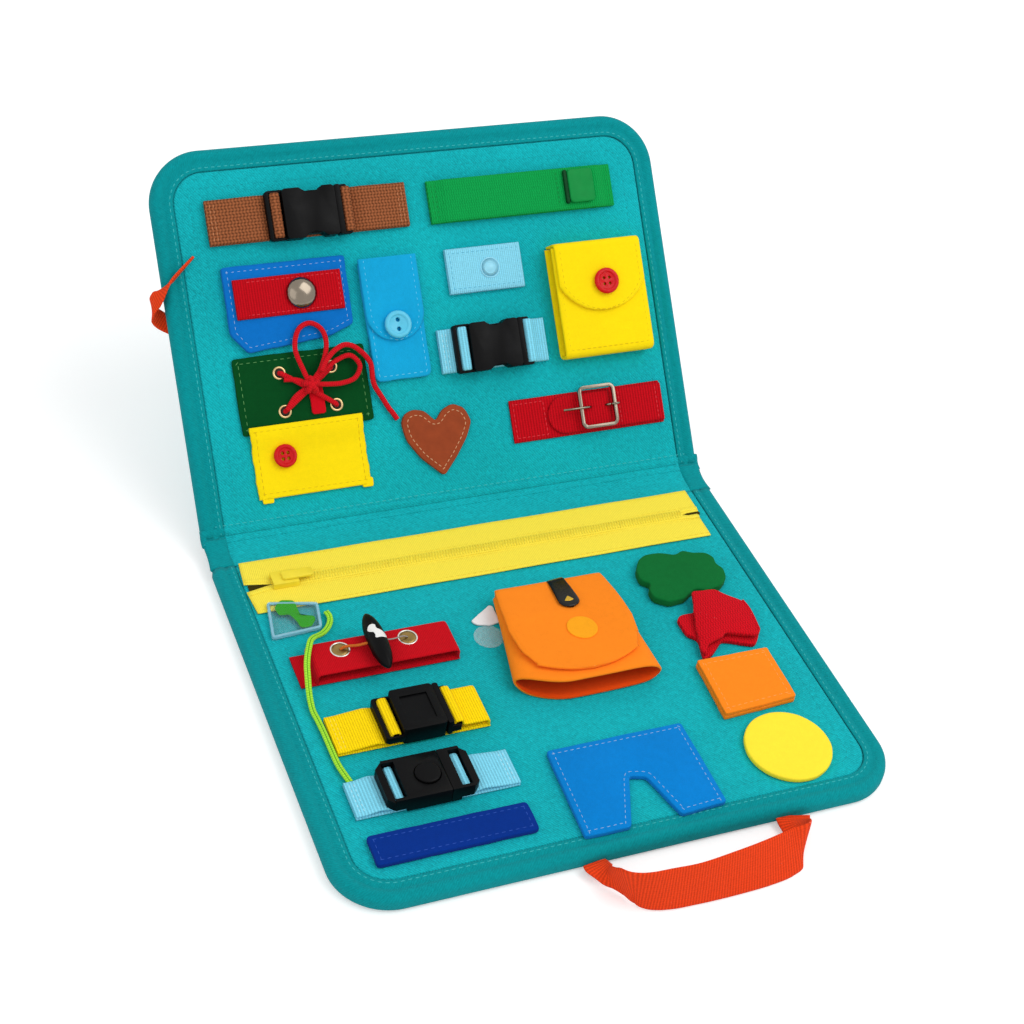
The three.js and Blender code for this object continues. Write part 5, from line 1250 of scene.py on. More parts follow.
def eyelet(at, level, radius=3.1, wire=0.65):
    """A pressed ring round a hole: a half round rim turned about its middle."""
    a = np.linspace(0, np.pi, 9)
    rim = np.stack([radius - wire * np.cos(a), level + wire * 0.55 * np.sin(a)], -1)
    inner = [[radius - wire - 0.1, level - 0.8], [radius + wire, level - 0.1]]
    return lathe(np.concatenate([[inner[0]], rim, [inner[1]]]), [*at, 0.0], 28)


class BOARD_OT_lacing(bpy.types.Operator):
    """Builds the lacing card, its eyelets and bow, the yellow patch, the heart and the loose lace"""

    bl_idname = "board.lacing"
    bl_label = "Lacing card"

    def execute(self, context):
        at, width = Parts.lacing, 75.3
        green = cloth("Dark green felt", "#04461c", variation=0.6)
        outline = rectangle(width, 42.7, at)
        build("lacing_card", slab(outline, 0.3, 1.6, edge=0.5, wobble=0.25, phase=1), "upper", green,
              replaces=["lacing_patch"])
        border("lacing_card", outline, 3.2, 1.82, "upper", thread_material("Leaf thread", "#5f9c5c"),
               pitch=3.8, length=2.4)
        middle = at + [width * 0.033, 0]
        eyes = [middle + [sx * 14.8, sy * 10.65] for sx, sy in ((-1, -1), (1, -1), (1, 1), (-1, 1))]
        metal = hard("Eyelet metal", "#c2a878", rough=0.22, metal=1.0, scuffs=0.1, grain=0.03)
        # Near-black discs in the eyelets are painted shade inside the holes.
        dark = hard("Eyelet hole", "#1c1408", rough=0.8)
        build("lacing_eyelets", joined([eyelet(e, 1.95) for e in eyes]), "upper", metal)
        discs = [lathe([[0, 1.75], [2.5, 1.75], [2.5, 1.98], [0, 1.98]], [*e, 0.0], 20) for e in eyes]
        build("lacing_eyelet_painted_hole_shade", joined(discs), "upper", dark)
        self.bow(eyes, at)
        self.patch()
        self.heart()
        return {"FINISHED"}

    def bow(self, eyes, at):
        """The bow: two crossed laces, two loops, five short turns as a knot, two ends and a felt tongue under them,
        and the loose lace that hangs from it."""
        red = cloth("Red lace", "#cf1420", "weave", variation=0.5, strength=0.7, depth=0.3, rough=0.8,
                    Rib=1.1, Thread=0.9)
        knot = np.array([at[0] + 3.2, at[1] + 1.6, 6.7])
        heights = ((0, 1.4), (0.03, 3.3), (0.12, 4.1), (0.5, 4.6), (0.88, 4.1), (0.97, 3.3), (1, 1.4))
        parts = []
        for a, b in ((eyes[0], eyes[2]), (eyes[1], eyes[3])):
            parts.append(tube(curve([[*(a + (b - a) * share), level] for share, level in heights], 50), 1.4))
        for line in (
            [[-80, 77, 7], [-82, 83, 7.2], [-84.7, 96.5, 6.2], [-80.7, 106.5, 5.7], [-74.2, 109, 5.6],
             [-68.2, 105, 5.6], [-66.7, 96.5, 6.1], [-72.5, 83, 7.2], [-78, 77, 7]],
            [[-77, 76, 7], [-72, 81, 7.2], [-62, 87, 6.2], [-54, 88.5, 6], [-49.5, 82.5, 5.9], [-53, 76.2, 6],
             [-61, 74, 6.3], [-76, 75, 7]],
        ):
            parts.append(tube(curve(line, 70), 1.4))
        t = np.linspace(0, TURN, 30)[:, None]
        for turn in TURN * np.arange(5) / 5 + 0.4:
            axis = unit(np.array([np.cos(turn), np.sin(turn), 0.25]))
            one = unit(np.cross(axis, [0, 0, 1.0]))
            ring = np.cos(t) * one + 0.72 * np.sin(t) * np.cross(axis, one)
            parts.append(tube(knot + 1.6 * axis * np.sin(t / 2) + 3.6 * ring, 1.5, 10, reference=tuple(axis)))
        for line in ([[-79, 75, 6], [-88, 70, 4.4], [-94, 63, 3.6]], [[-78, 75, 6], [-86, 79, 4.6], [-93, 80, 3.8]]):
            parts.append(tube(curve(line, 24), 1.35))
        build("lace_bow_cord", joined(parts), "upper", red, replaces=["lace_bow"])
        felt = cloth("Red felt", colours().red, variation=0.35)
        build("lace_tongue", slab(rectangle(8, 15, at + [6.5, -6.9]), 2.2, 1.4, edge=0.4), "upper", felt)
        path = curve([
            [-73, 81.5, 10.6], [-70.5, 85.5, 10.2], [-67, 89.3, 9.5], [-62.5, 92.6, 8.8], [-57, 94.6, 8],
            [-52.5, 93.5, 7.4], [-48.5, 90.5, 6.7], [-45.2, 86.8, 6], [-43, 82.5, 5.4], [-42.8, 78, 4.8],
            [-42.8, 73.5, 4.2], [-41.8, 69.5, 3.3], [-39.6, 65.5, 2.6], [-37.6, 61.5, 2.1], [-35.4, 57, 1.9],
            [-33.4, 53.8, 1.85], [-31.4, 50.0, 1.85],
        ], 120)
        tail = build("lace_tail_cord", tube(path, 1.45), "upper", red, replaces=["lace_tail"])

    def patch(self):
        """The yellow patch: a plate that steps up where it laps over the card, with short tabs at its lower corners."""
        at, width, height = Parts.patch, 63.7, 39.7
        step_at = at[1] + height / 2 - 5.3

        def lift(x, y):
            t = np.clip((y - step_at + 11.0) / 11.6, 0, 1)
            return 1.9 * t * t * (3 - 2 * t)

        rows = np.concatenate([np.linspace(-19.85, 8.5, 30), np.linspace(9, 16, 12), [17, 18.3, 19.85]])
        centre = np.column_stack([np.full(len(rows), at[0]), at[1] + rows, 1.1 + lift(0, at[1] + rows)])
        half = 31.75 + 0.2 * np.sin(rows / 2.2) + 0.1 * np.sin(rows / 0.9)
        tabs = [slab(round_rectangle(6.4, 5.4, 0.8, at + [x, y]), 0.32, 1.5, edge=0.4, wobble=0.1, step=0.7, soften=1)
                for x, y in ((-27.2, -19.6), (30.2, -18.6))]
        felt = cloth("Yellow felt", colours().yellow, variation=0.28, strength=0.4)
        build("yellow_patch_felt", joined([strip(centre, [1, 0, 0], half, 1.6, columns=15), *tabs]), "upper", felt,
              replaces=["yellow_patch"])
        border("yellow_patch", rectangle(width, height, at), 2.8, 0, "upper",
               thread_material("Yellow thread", "#e2c206"), surface=lambda x, y: 1.85 + lift(x, y),
               pitch=3.6, length=2.3)

    def heart(self):
        """The leather heart with its dashed border."""
        shares = [
            [-0.5, 0.32], [-0.44, 0.44], [-0.31, 0.49], [-0.15, 0.45], [-0.01, 0.28], [0.1, 0.43], [0.26, 0.5],
            [0.42, 0.42], [0.5, 0.22], [0.4, 0], [0.22, -0.25], [0, -0.5], [-0.29, -0.21], [-0.46, 0.07],
        ]
        outline = shaped(shares, 41.6, 39.9, Parts.heart)
        build("heart_leather", slab(outline, 0.3, 2.3, edge=0.6, crown=0.15, wobble=0, step=0.8, soften=8), "upper",
              leather_material("Brown leather", "#93401f"), body="heart", replaces=["leather_heart"])
        border("heart", outline, 3.0, 2.66, "upper", thread_material("Tan thread", "#d9a77e"), "heart", soften=10,
               pitch=3.0, length=1.9, width=0.5, height=0.22)


# Small straps on the upper panel


class BOARD_OT_small_straps(bpy.types.Operator):
    """Builds the snap loop, the belt and the side loop"""

    bl_idname = "board.small_straps"
    bl_label = "Snap loop, belt and side loop"

    def execute(self, context):
        self.snap_loop()
        self.belt()
        self.side_loop()
        return {"FINISHED"}

    def snap_loop(self):
        """The light blue tape with its press stud."""
        at, width = Parts.snap_loop, 45.4
        sky = webbing_material("Sky tape", "#86d6ee", rib=1.2, thread=1.0, variation=0.4)
        low = webbing_strip([[-width / 2, LOW], [width / 2, LOW]], at, 12.5)
        top = webbing_strip([[-width / 2, HIGH], [width / 2, HIGH]], at, 12.4, sag=0.1)
        build("snap_loop_tape", joined([low, top]), "upper", sky, replaces=["snap_loop"])
        border("snap_loop", rectangle(width, 25, at), 2.4, HIGH + 0.62, "upper",
               thread_material("Blue thread", "#5fb2d0"), pitch=3.0, length=1.9, width=0.5, height=0.24)
        middle = [at[0] + 45.5 * 0.065, at[1]]
        rings = [loop_tube(np.column_stack([circle_outline(r, middle, 40), np.full(40, HIGH + 0.75)]), wire)
                 for r, wire in ((5.6, 0.42), (3.2, 0.3))]
        disc = lathe([[0, 0], [4.6, 0], [5.0, 0.25], [2.2, 0.35], [1.6, 0.75], [0, 0.85]], [*middle, HIGH + 0.6], 28)
        build("snap_loop_press", joined(rings + [disc]), "upper", hard("Sky plastic", "#93daf0", rough=0.4))

    def belt(self):
        """The belt: a base strap and a tongue with a round end that rises under the frame."""
        at, tip = Parts.belt, 10.5
        red = webbing_material("Red belt webbing", "#bb0a18", rib=1.7, thread=1.3, variation=0.65)
        base = webbing_strip([[-47.6, LOW], [47.6, LOW]], at, 11.8)
        line = [[47.6, HIGH], [13.6, HIGH], [12.0, 4.7], [-3.0, 4.7], [-5.9, HIGH], [-25.2, HIGH]]
        p = rounded(line, 0.5, 3)
        from_tip = run_length(p)[-1] - run_length(p)
        half = np.where(from_tip < tip, np.sqrt(np.maximum(tip**2 - (tip - from_tip) ** 2, 0.04)), tip)
        tongue = strip(across_panel(p, at), [0, 1, 0], half, 1.4)
        build("belt_webbing", joined([base, tongue]), "upper", red, replaces=["belt_strap"])
        edge = inset_path(rectangle(95, 23.4, at), 2.0)
        edge = edge[(edge[:, 0] < at[0] - 26) | (edge[:, 0] > at[0] + 47.7)]
        rows = [stitched(edge, 1.65, pitch=3.0, length=1.9, width=0.45)]
        for x in (20, 44):
            rows.append(stitched(cross_line(at + [x, 0], 9.5), HIGH + 0.65, pitch=2.6, length=1.8))
        build("belt_stitches", joined(rows), "upper", thread_material("Red thread", "#e0414a"))

    def side_loop(self):
        """The side loop: a ribbon through the CAD route, narrow at its front end."""
        stations = np.array([
            [18.5, 22.5, 0.9], [10, 15.5, 2.3], [2, 8.5, 3.2], [-3, 3.5, 1.8], [-5.5, 1, -2], [-6.3, -1, -5],
            [-5.2, -5, -9.4], [-1.5, -8.5, -11.6], [5, -13.5, -11], [10, -18, -10.2],
        ])
        across = np.array([
            [-0.35, 0, 0.94], [-0.35, 0, 0.94], [-0.35, 0, 0.94], [-0.2, -0.6, 0.7], [0, -1, 0], [0, -1, 0],
            [-0.1, -1, 0], [-0.5, -1, 0], [-0.9, -1, 0], [-1, -1, 0],
        ])
        share = np.array([0.12, 0.4, 0.6, 0.8, 1, 1, 1, 1, 0.9, 0.8])
        place_of = np.arange(len(stations))
        t = np.linspace(0, place_of[-1], 70)
        centre = curve(stations + [*Parts.side_loop, 0], len(t))
        side, half = sampled(t, place_of, across), 4.5 * np.interp(t, place_of, share)
        tape = webbing_material("Orange tape", colours().handle, rib=1.5, thread=1.3, variation=0.5)
        build("side_loop_tape", strip(centre, side, half, 1.3), "upper", tape, replaces=["side_loop"])


# Zip


class BOARD_OT_zip(bpy.types.Operator):
    """Builds the zip tape, its coils, its seams, and dark slabs that paint the shade in the gaps at its ends"""

    bl_idname = "board.zip"
    bl_label = "Zip"

    def execute(self, context):
        at, half = Parts.zip, 135.4
        tape = webbing_material("Zip tape", "#fbe64a", rib=1.0, thread=0.8, variation=0.22, strength=0.4)
        parts = []
        for side in (-1, 1):
            x = np.linspace(-half, half - (1.6 if side > 0 else 3.2), 130)
            opening = np.clip((-half + 16 - x) / 16, 0, 1) * 3.0 + np.clip((x - half + 13) / 3, 0, 1) * 1.15
            inner = np.maximum(0.35, opening)
            rise = 0.95 + 0.12 * np.sin(x / 11.0 + side)
            centre = np.column_stack([at[0] + x, at[1] + side * (inner + 19.4) / 2, rise])
            parts.append(strip(centre, [0, 1, 0], (19.4 - inner) / 2, 0.9, columns=11))
            ridge = np.column_stack([at[0] + x, at[1] + side * (inner + 2.2), np.full(len(x), 1.5)])
            parts.append(strip(ridge, [0, 1, 0], 0.9, 0.9, columns=5))
        bed = np.column_stack([at[0] + np.linspace(15 - half, half - 13, 90), np.full(90, at[1]), np.full(90, 1.85)])
        parts.append(strip(bed, [0, 1, 0], 2.1, 0.8, columns=5))
        build("zip_tape", joined(parts), "lower", tape, replaces=["zip_chain"])
        x = np.arange(-half + 15, half - 13, 1.6)
        t = np.linspace(0, np.pi, 5)
        teeth = []
        for k, side in enumerate((-1, 1)):
            middle = np.column_stack([at[0] + x + 0.8 * k, np.full(len(x), at[1] + side), np.full(len(x), 2.0)])
            loop = np.stack([np.zeros(5), side * 1.71 * np.cos(t), 0.55 * np.sin(t) - 0.1], -1)
            teeth += [tube(point + loop, 0.36, 5, reference=(1.0, 0.02, 0.05)) for point in middle]
        coil = hard("Zip coil", "#fbe64a", rough=0.6, scuffs=0.1, specular=0.15)
        build("zip_coils", joined(teeth), "lower", coil)
        rows = [stitched([[3 - half, y] + at, [half - 3, y] + at], 1.42, pitch=3.4, length=2.4, width=0.42, height=0.18)
                for y in (-17.6, -5.2, 5.2, 17.6)]
        build("zip_stitches", joined(rows), "lower", thread_material("Zip thread", "#f6de42"))
        # Dark slabs under the split and in the slot at the right end are painted shade in the gaps between the tapes.
        split = np.array([[1 - half, -2.4], [13 - half, -0.4], [13 - half, 0.4], [1 - half, 2.4]]) + at
        gaps = [slab(split, 0.35, 0.4, edge=0.15, wobble=0, step=0.8, soften=1),
                slab(round_rectangle(11.6, 2.6, 0.5, at + [half - 6.8, 0]), 0.35, 0.5, edge=0.15, wobble=0, step=0.5)]
        build("zip_gaps", joined(gaps), "lower", hard("Zip gap", "#3a3208", rough=0.9, specular=0.1))
        return {"FINISHED"}


# Toggle, clear pocket, navy strip and lime cord


class BOARD_OT_toggle(bpy.types.Operator):
    """Builds the toggle on its band, the clear pocket with its tag, the lime cord and the navy strip"""

    bl_idname = "board.toggle"
    bl_label = "Toggle band and clear pocket"

    def execute(self, context):
        at, level = Parts.toggle, 13.9
        red = webbing_material("Red band felt", "#c60d1b", rib=0.9, thread=0.9, variation=0.4, strength=0.5)
        low = webbing_strip([[-42.8, 1.1], [42.8, 1.1]], at, 10.7, thick=1.6)
        line = [[-34.3, 1.1], [-34.3, 6.2], [-33.0, 7.6], [40.6, 7.6], [42.0, 6.2], [42.0, 1.1]]
        top = webbing_strip(line, at, 10.6, thick=1.6, sag=0.2)
        build("toggle_band_felt", joined([low, top]), "lower", red, replaces=["toggle_band"])
        eyes = [at + [side * 85.6 * 0.214, 21.5 * 0.17] for side in (-1, 1)]
        silver = hard("Silver ring", "#d9d6d0", rough=0.22, metal=1.0, scuffs=0.1, grain=0.03)
        bronze = hard("Bronze", "#8f7440", rough=0.35, metal=0.8, scuffs=0.2, grain=0.1)
        build("toggle_eyelets", joined([eyelet(e, 8.4, radius=4.9, wire=0.45) for e in eyes]), "lower", silver)
        cup = [[0, 8.1], [4.6, 8.1], [4.6, 8.5], [3.2, 8.75], [2.4, 8.55], [0, 8.5]]
        build("toggle_eyelet_cups", joined([lathe(cup, [*e, 0.0], 28) for e in eyes]), "lower", bronze)
        legs = []
        for eye, wire in zip(eyes, (0.75, 0.4)):
            way = math.copysign(1, eye[0] - at[0])
            line = [
                [at[0] + way * 2.5, at[1], level], [*(at + (eye - at) * [0.5, 0.4]), level - 2.4],
                [*(at + (eye - at) * [0.86, 0.9]), 10.2], [*eye, 8.6],
            ]
            legs.append(tube(curve(line, 26), wire, 8))
        elastic = cloth("Elastic cord", "#c96a28", "weave", variation=0.5, Rib=0.8, Thread=0.7)
        build("toggle_elastic", legs[0], "lower", elastic, replaces=["toggle_cord"])
        build("toggle_thread", legs[1], "lower", thread_material("Grey thread", "#9a938c"))
        self.toggle_marks(at, level)
        self.clear()
        self.lime()
        self.navy()
        return {"FINISHED"}

    def navy(self):
        """The navy strip with its stitched border."""
        outline = round_rectangle(82.1, 17.9, 0.5, Parts.navy)
        build("navy_strip_felt", slab(outline, 0.3, 3.0, edge=0.7, wobble=0.15), "lower",
              cloth("Navy felt", "#033088", variation=0.5), replaces=["navy_strip"])
        border("navy_strip", outline, 2.8, 3.22, "lower", thread_material("Navy thread", "#2a52b0"),
               pitch=3.6, length=2.3, width=0.5)

    def toggle_marks(self, at, level):
        """The toggle: a spindle, r = 5.2 (1 - |y / half|^2.6)^0.7, with a plain white patch of uneven outline over its
        middle and a dark spot beside it, both bands of its own surface."""
        half = 20.0
        y = half * np.sin(np.linspace(-np.pi / 2, np.pi / 2, 41))
        reach = lambda y: 5.2 * np.maximum(1 - np.abs(y / half) ** 2.6, 0) ** 0.7
        v, q, t, uv = lathe(np.column_stack([reach(y), y]), [0, 0, 0], 28)
        spindle = (v @ np.array([[1, 0, 0], [0, 0, -1], [0, 1, 0]]) + [*at, level], q, t, uv)
        black = plastic_black()
        build("toggle_spindle", spindle, "lower", black, body="toggle_bar", replaces=["toggle"])
        along = np.array([7.6, 6.8, 5.0, 3.6, 1.8, -0.2, -1.7, -2.4])
        left = np.array([2.0, 2.25, 2.45, 2.35, 1.9, 1.85, 1.95, 1.8])
        right = np.array([1.7, 1.45, 1.5, 1.35, 0.8, 0.5, 0.6, 1.0])
        build("toggle_patch", self.band(at, level, along, left, right, reach, 0.12), "lower",
              hard("White enamel", "#f0efec", rough=0.35, specular=0.3), body="toggle_bar")
        turn = np.linspace(0, np.pi, 9)
        along, wide = 4.4 + 1.1 * np.cos(turn), 0.27 * np.sin(turn)
        spot = self.band(at, level, along, 1.2 + wide, 1.2 - wide, reach, 0.22)
        build("toggle_spot", spot, "lower", black, body="toggle_bar")

    def band(self, at, level, along, left, right, reach, raised):
        """A thin patch on the spindle between two turning angles at each place along it."""
        s = np.linspace(0, 1, 40)
        y, a, b = (np.interp(s, np.linspace(0, 1, len(k)), k)[:, None] for k in (along, left, right))
        turn = a + (b - a) * np.linspace(0, 1, 14)
        sides = []
        for rise in (raised, -0.3):
            radius = reach(y) + rise
            across, up = at[0] + radius * np.cos(turn), level + radius * np.sin(turn)
            sides.append(np.stack([across, np.broadcast_to(at[1] + y, turn.shape), up], -1))
        shell = np.concatenate([sides[0], sides[1][:, ::-1]], 1)
        return ended(shell)

    def clear(self):
        """The clear pocket: a thin film with a raised welded rim, tinted light blue as painted edge glints, and the
        green tag inside it.
        """
        at = Parts.clear
        outline = shaped([[-0.36, 0.5], [0.5, 0.27], [0.4, -0.42], [-0.5, -0.48]], 31, 27, at)
        film = hard("Clear film", "#d4f2fa", rough=0.12, scuffs=0.05, grain=0.02, alpha=0.03, specular=0.1)
        # The raised rim is real; its light blue tint and part opacity paint the glints along the film's edges.
        rim = hard("Film rim", "#9adcf0", rough=0.25, scuffs=0.05, alpha=0.6)
        lift = lambda x, y: 1.1 * np.clip((y - (at[1] + 7.2)) / 2.5 + 0.5, 0, 1)
        top = slab(outline, 3.1, 0.5, edge=0.24, wobble=0.2, step=0.9)
        build("clear_pocket_front", top, "lower", film, replaces=["clear_pocket"])
        low = slab(outline, 0.4, 0.5, edge=0.24, wobble=0.2, step=0.9, lift=lift)
        build("clear_pocket_back", low, "lower", film)
        p = inset_path(outline, 0.9, soften=5)
        rings = [loop_tube(np.column_stack([p, np.full(len(p), 2.6)]), 0.85, 8),
                 loop_tube(np.column_stack([p, 1.4 + lift(*p.T)]), 0.7, 8)]
        build("clear_pocket_rim_painted_glints", joined(rings), "lower", rim)
        shares = [
            [-0.25, 0.5], [0.11, 0.42], [0.13, -0.1], [0.47, -0.17], [0.5, -0.28], [0.31, -0.5],
            [0, -0.49], [-0.04, -0.27], [-0.16, 0.01], [-0.46, 0.02], [-0.5, 0.29],
        ]
        tag = slab(shaped(shares, 19, 22.5, at + [31 * 0.04, 27 * 0.07]), 2.35, 0.8, edge=0.3, step=0.8, soften=4)
        build("green_tag_felt", tag, "lower", cloth("Tag green felt", "#2f9c12", variation=0.4),
              replaces=["green_tag"])

    def lime(self):
        """The lime cord: two soft strands side by side along the CAD route, with a thin dark tube in the crease between
        them as painted shade.
        """
        path = curve([
            [-101.3, 69.5, 1.95], [-100.6, 66.5, 1.95], [-101.3, 62.5, 2.1], [-104, 57.8, 2.5], [-108, 53.5, 3.6],
            [-112, 49.8, 6.2], [-115.5, 46.3, 9.2], [-118.5, 42.5, 11.2], [-121, 37.6, 11], [-123, 33, 10.4],
            [-124.7, 28, 9.2], [-126, 22.3, 8], [-127, 17, 5.4], [-127.9, 11, 3.2], [-128.5, 3.5, 2],
            [-128, -2.5, 1.95], [-127.5, -12, 1.95], [-127.3, -24, 1.95], [-127, -33, 1.95], [-125.8, -40, 1.95],
            [-124.7, -45.2, 1.95],
        ], 160)
        lime = cloth("Lime cord", "#a4e43c", "weave", variation=0.5, strength=0.7, depth=0.3, rough=0.7,
                     Rib=1.4, Thread=1.1)
        aside = unit(np.cross(np.gradient(path, axis=0), [0, 0, 1.0])) * 0.72
        strands = joined([tube(path + aside, 0.92, 10), tube(path - aside, 0.92, 10)])
        cord = build("lime_cord_braid", strands, "lower", lime, replaces=["lime_cord"])
        # A thin dark tube along the crease between the strands paints the shade there.
        moss = thread_material("Moss thread", "#3f8f1e")
        build("lime_cord_thread", tube(path + [0, 0, 0.5], 0.28, 6), "lower", moss)


# Loose shapes


class BOARD_OT_shapes(bpy.types.Operator):
    """Builds the loose felt shapes and the scrap of film"""

    bl_idname = "board.shapes"
    bl_label = "Loose shapes"

    def execute(self, context):
        c = colours()
        cloud = shaped([
            [-0.49, 0.22], [-0.4, 0.41], [-0.29, 0.5], [-0.1, 0.48], [0.05, 0.39], [0.16, 0.46], [0.27, 0.37],
            [0.41, 0.33], [0.47, 0.2], [0.44, 0.08], [0.5, -0.05], [0.46, -0.23], [0.35, -0.36], [0.16, -0.41],
            [0.03, -0.34], [-0.14, -0.48], [-0.32, -0.5], [-0.47, -0.37], [-0.48, -0.2], [-0.41, -0.08], [-0.5, 0.01],
        ], 50.6, 38.4, Parts.cloud)
        build("cloud_felt", slab(cloud, 0.3, 4.9, edge=0.9, crown=0.2, wobble=0.2, soften=3), "lower",
              cloth("Cloud green felt", "#0b6b30", variation=0.55), body="cloud", replaces=["green_cloud"])
        self.trunk()
        square = shaped([[-0.5, -0.5], [0.48, -0.44], [0.5, 0.49], [-0.46, 0.5]], 43.7, 39, Parts.square)
        layers = [slab(square, 0.3, 2.5, edge=0.4, wobble=0.15, step=0.8, soften=1),
                  slab(inset_path(square, 0.1, soften=1), 2.82, 2.5, edge=0.45, wobble=0.1, step=0.8, soften=0)]
        build("square_felt", joined(layers), "lower", cloth("Orange felt", c.orange, variation=0.3, strength=0.45),
              body="square", replaces=["orange_square"])
        border("square", square, 3.4, 5.28, "lower", thread_material("Orange thread", "#ffa552"), "square",
               pitch=3.6, length=2.3, width=0.5)
        disc = circle_outline(23.0, Parts.circle, 96)
        build("circle_felt", slab(disc, 0.3, 3.0, edge=0.9, crown=0.15, wobble=0.12), "lower",
              cloth("Lemon felt", "#ffe93a", variation=0.24, strength=0.35), body="circle",
              replaces=["yellow_circle"])
        trousers = shaped([
            [-0.47, 0.5], [0.497, 0.5], [0.5, -0.466], [0.172, -0.491], [0.078, -0.01], [-0.028, 0.031],
            [-0.184, -0.5], [-0.5, -0.498],
        ], 77.6, 55.9, Parts.trousers)
        build("trousers_felt", flat_slab(trousers, 0.3, 3.0, edge=0.7, wobble=0.15), "lower",
              cloth("Bright blue felt", "#047fd0", variation=0.5), body="trousers", replaces=["blue_trousers"])
        border("trousers", trousers, 2.9, 3.22, "lower", thread_material("White thread", "#b4cbe0"), "trousers",
               soften=2, pitch=3.4, length=2.1, width=0.3)
        at = Parts.orange
        faint = hard("Faint film", "#eef8fb", rough=0.3, scuffs=0.1, alpha=0.15, specular=0.1)
        disc = circle_outline(8.2, at + [80.5 * -0.49, 72.5 * 0.2])
        build("film_scrap_low", slab(disc, 0.3, 0.5, edge=0.2, step=0.9), "lower", faint)
        # The film scrap is pale; its near white colour and near full opacity also paint light onto it.
        film = hard("Frosted film", "#fbfdff", rough=0.3, scuffs=0.1, alpha=0.92, specular=0.3)
        shares = [[-0.5, 0.02], [0.4, 0.5], [0.52, 0.45], [0.5, -0.22], [0.1, -0.27], [-0.36, -0.16]]
        scrap = shaped(shares, 15, 18.5, at + [80.5 * -0.4643, 72.5 * 0.3705])
        build("film_scrap", slab(scrap, 0.3, 1.1, edge=0.3, step=0.7), "lower", film, replaces=["film_corner"])
        return {"FINISHED"}

    def trunk(self):
        """The red shape: a felt plate with a folded second layer that is closed along its right side."""
        at, width, height = Parts.trunk, 41.6, 46
        felt = cloth("Red knit", colours().red, "weave", variation=0.7, strength=0.8, depth=0.35,
                     Rib=1.5, Thread=1.6, Shift=1.5)
        plate = shaped([
            [-0.11, 0.5], [0.27, 0.42], [0.32, 0.31], [0.5, 0.21], [0.49, 0.04], [0.44, -0.3], [0.32, -0.42],
            [-0.08, -0.25], [-0.3, -0.43], [-0.47, -0.5], [-0.37, -0.16], [-0.48, -0.07], [-0.5, 0.19],
            [-0.42, 0.25], [-0.22, 0.24], [-0.15, 0.29],
        ], width, height, at)
        low = flat_slab(plate, 0.3, 3.0, edge=0.7, wobble=0.2, soften=3)
        over = shaped([
            [-0.15, 0.5], [0.19, 0.46], [0.26, 0.37], [0.47, 0.19], [0.49, 0.04], [0.43, -0.32], [0.36, -0.37],
            [-0.03, -0.22], [-0.12, -0.3], [-0.34, -0.33], [-0.43, -0.48], [-0.45, -0.36], [-0.36, -0.04], [-0.22, 0.3],
        ], width, height, at)
        filling = shaped([
            [-0.12, 0.27], [-0.07, 0.42], [0.23, 0.35], [0.3, 0.25], [0.44, 0.16], [0.44, 0.02], [0.38, -0.27],
            [0.28, -0.3], [-0.03, -0.18],
        ], width, height, at)
        middle = flat_slab(filling, 3.5, 2.1, edge=0.6, wobble=0.3, soften=3, phase=1)
        v, q, t, uv = flat_slab(over, 5.8, 2.1, edge=0.7, wobble=0.25, soften=3, phase=2)
        droop = 2.3 * np.clip((at[0] - 8 - v[:, 0]) / 9, 0, 1) ** 1.5
        top = (v - droop[:, None] * [0, 0, 1], q, t, uv)
        rim = np.array([[0.455, 0.2], [0.47, 0.04], [0.425, -0.28]]) * [width, height] + at
        wave = np.sin(9 * np.linspace(0, 1, 30))[:, None]
        fold = curve(np.column_stack([rim, np.full(3, 4.1)]), 30) + [0, 0, 0.1] * wave
        back = strip(fold, [0, 0, 1], 3.6, 1.9, columns=9)
        build("trunk_felt", joined([low, middle, top, back]), "lower", felt, body="trunk", replaces=["red_trunk"])


# Front handle


class BOARD_OT_handle(bpy.types.Operator):
    """Builds the carry handle"""

    bl_idname = "board.handle"
    bl_label = "Handle"

    def execute(self, context):
        low = np.array([
            (-31, -117.35, 4), (-31, -120, 4), (-27.3, -123.7, 3), (-23, -127.4, 1.8), (-18.9, -133.9, 0.9),
            (-15.3, -141.5, 0.9), (-10, -147, 0.9), (2.2, -150.4, 0.9), (15.6, -151.3, 0.9), (36.4, -151.6, 0.9),
            (53.3, -151, 0.9), (66.4, -148.9, 0.9), (73.7, -144.6, 0.9), (75.6, -137, 1.2), (75.2, -128, 2.6),
            (74.4, -120.4, 4), (74.3, -117.35, 4),
        ])
        high = np.array([
            (-19, -117.35, 4), (-18.2, -120.4, 4.6), (-19.2, -126, 8), (-21.1, -131.9, 13), (-20.9, -137.5, 19),
            (-18.9, -142.2, 24), (-12, -144.8, 25.4), (-1.8, -145.4, 25), (12.8, -146.3, 25.2), (34.8, -143.9, 24.6),
            (56, -140.5, 23.4), (69.5, -138, 23.4), (77.4, -137.1, 24.4), (82, -132.6, 19), (86.9, -126.2, 11),
            (91, -120.4, 4), (92.6, -117.35, 4),
        ])
        low, high = np.split(curve(np.hstack([low, high]) - [0, 0, PANEL] * 2, 170), 2, axis=1)
        path, side = (low + high) / 2, high - low
        half = np.linalg.norm(side, axis=1) / 2
        run = run_length(path)
        thick = np.interp(run, [0, 4, run[-1] - 4, run[-1]], [0.6, 1.3, 1.3, 0.6])
        tape = webbing_material("Handle tape", colours().handle, rib=1.5, thread=1.4, variation=0.55)
        obj = build("handle_tape", strip(path, side, half, thick, columns=21), "lower", tape, body="handle",
                    replaces=["front_handle"])
        cut_flat(path, half)
        return {"FINISHED"}


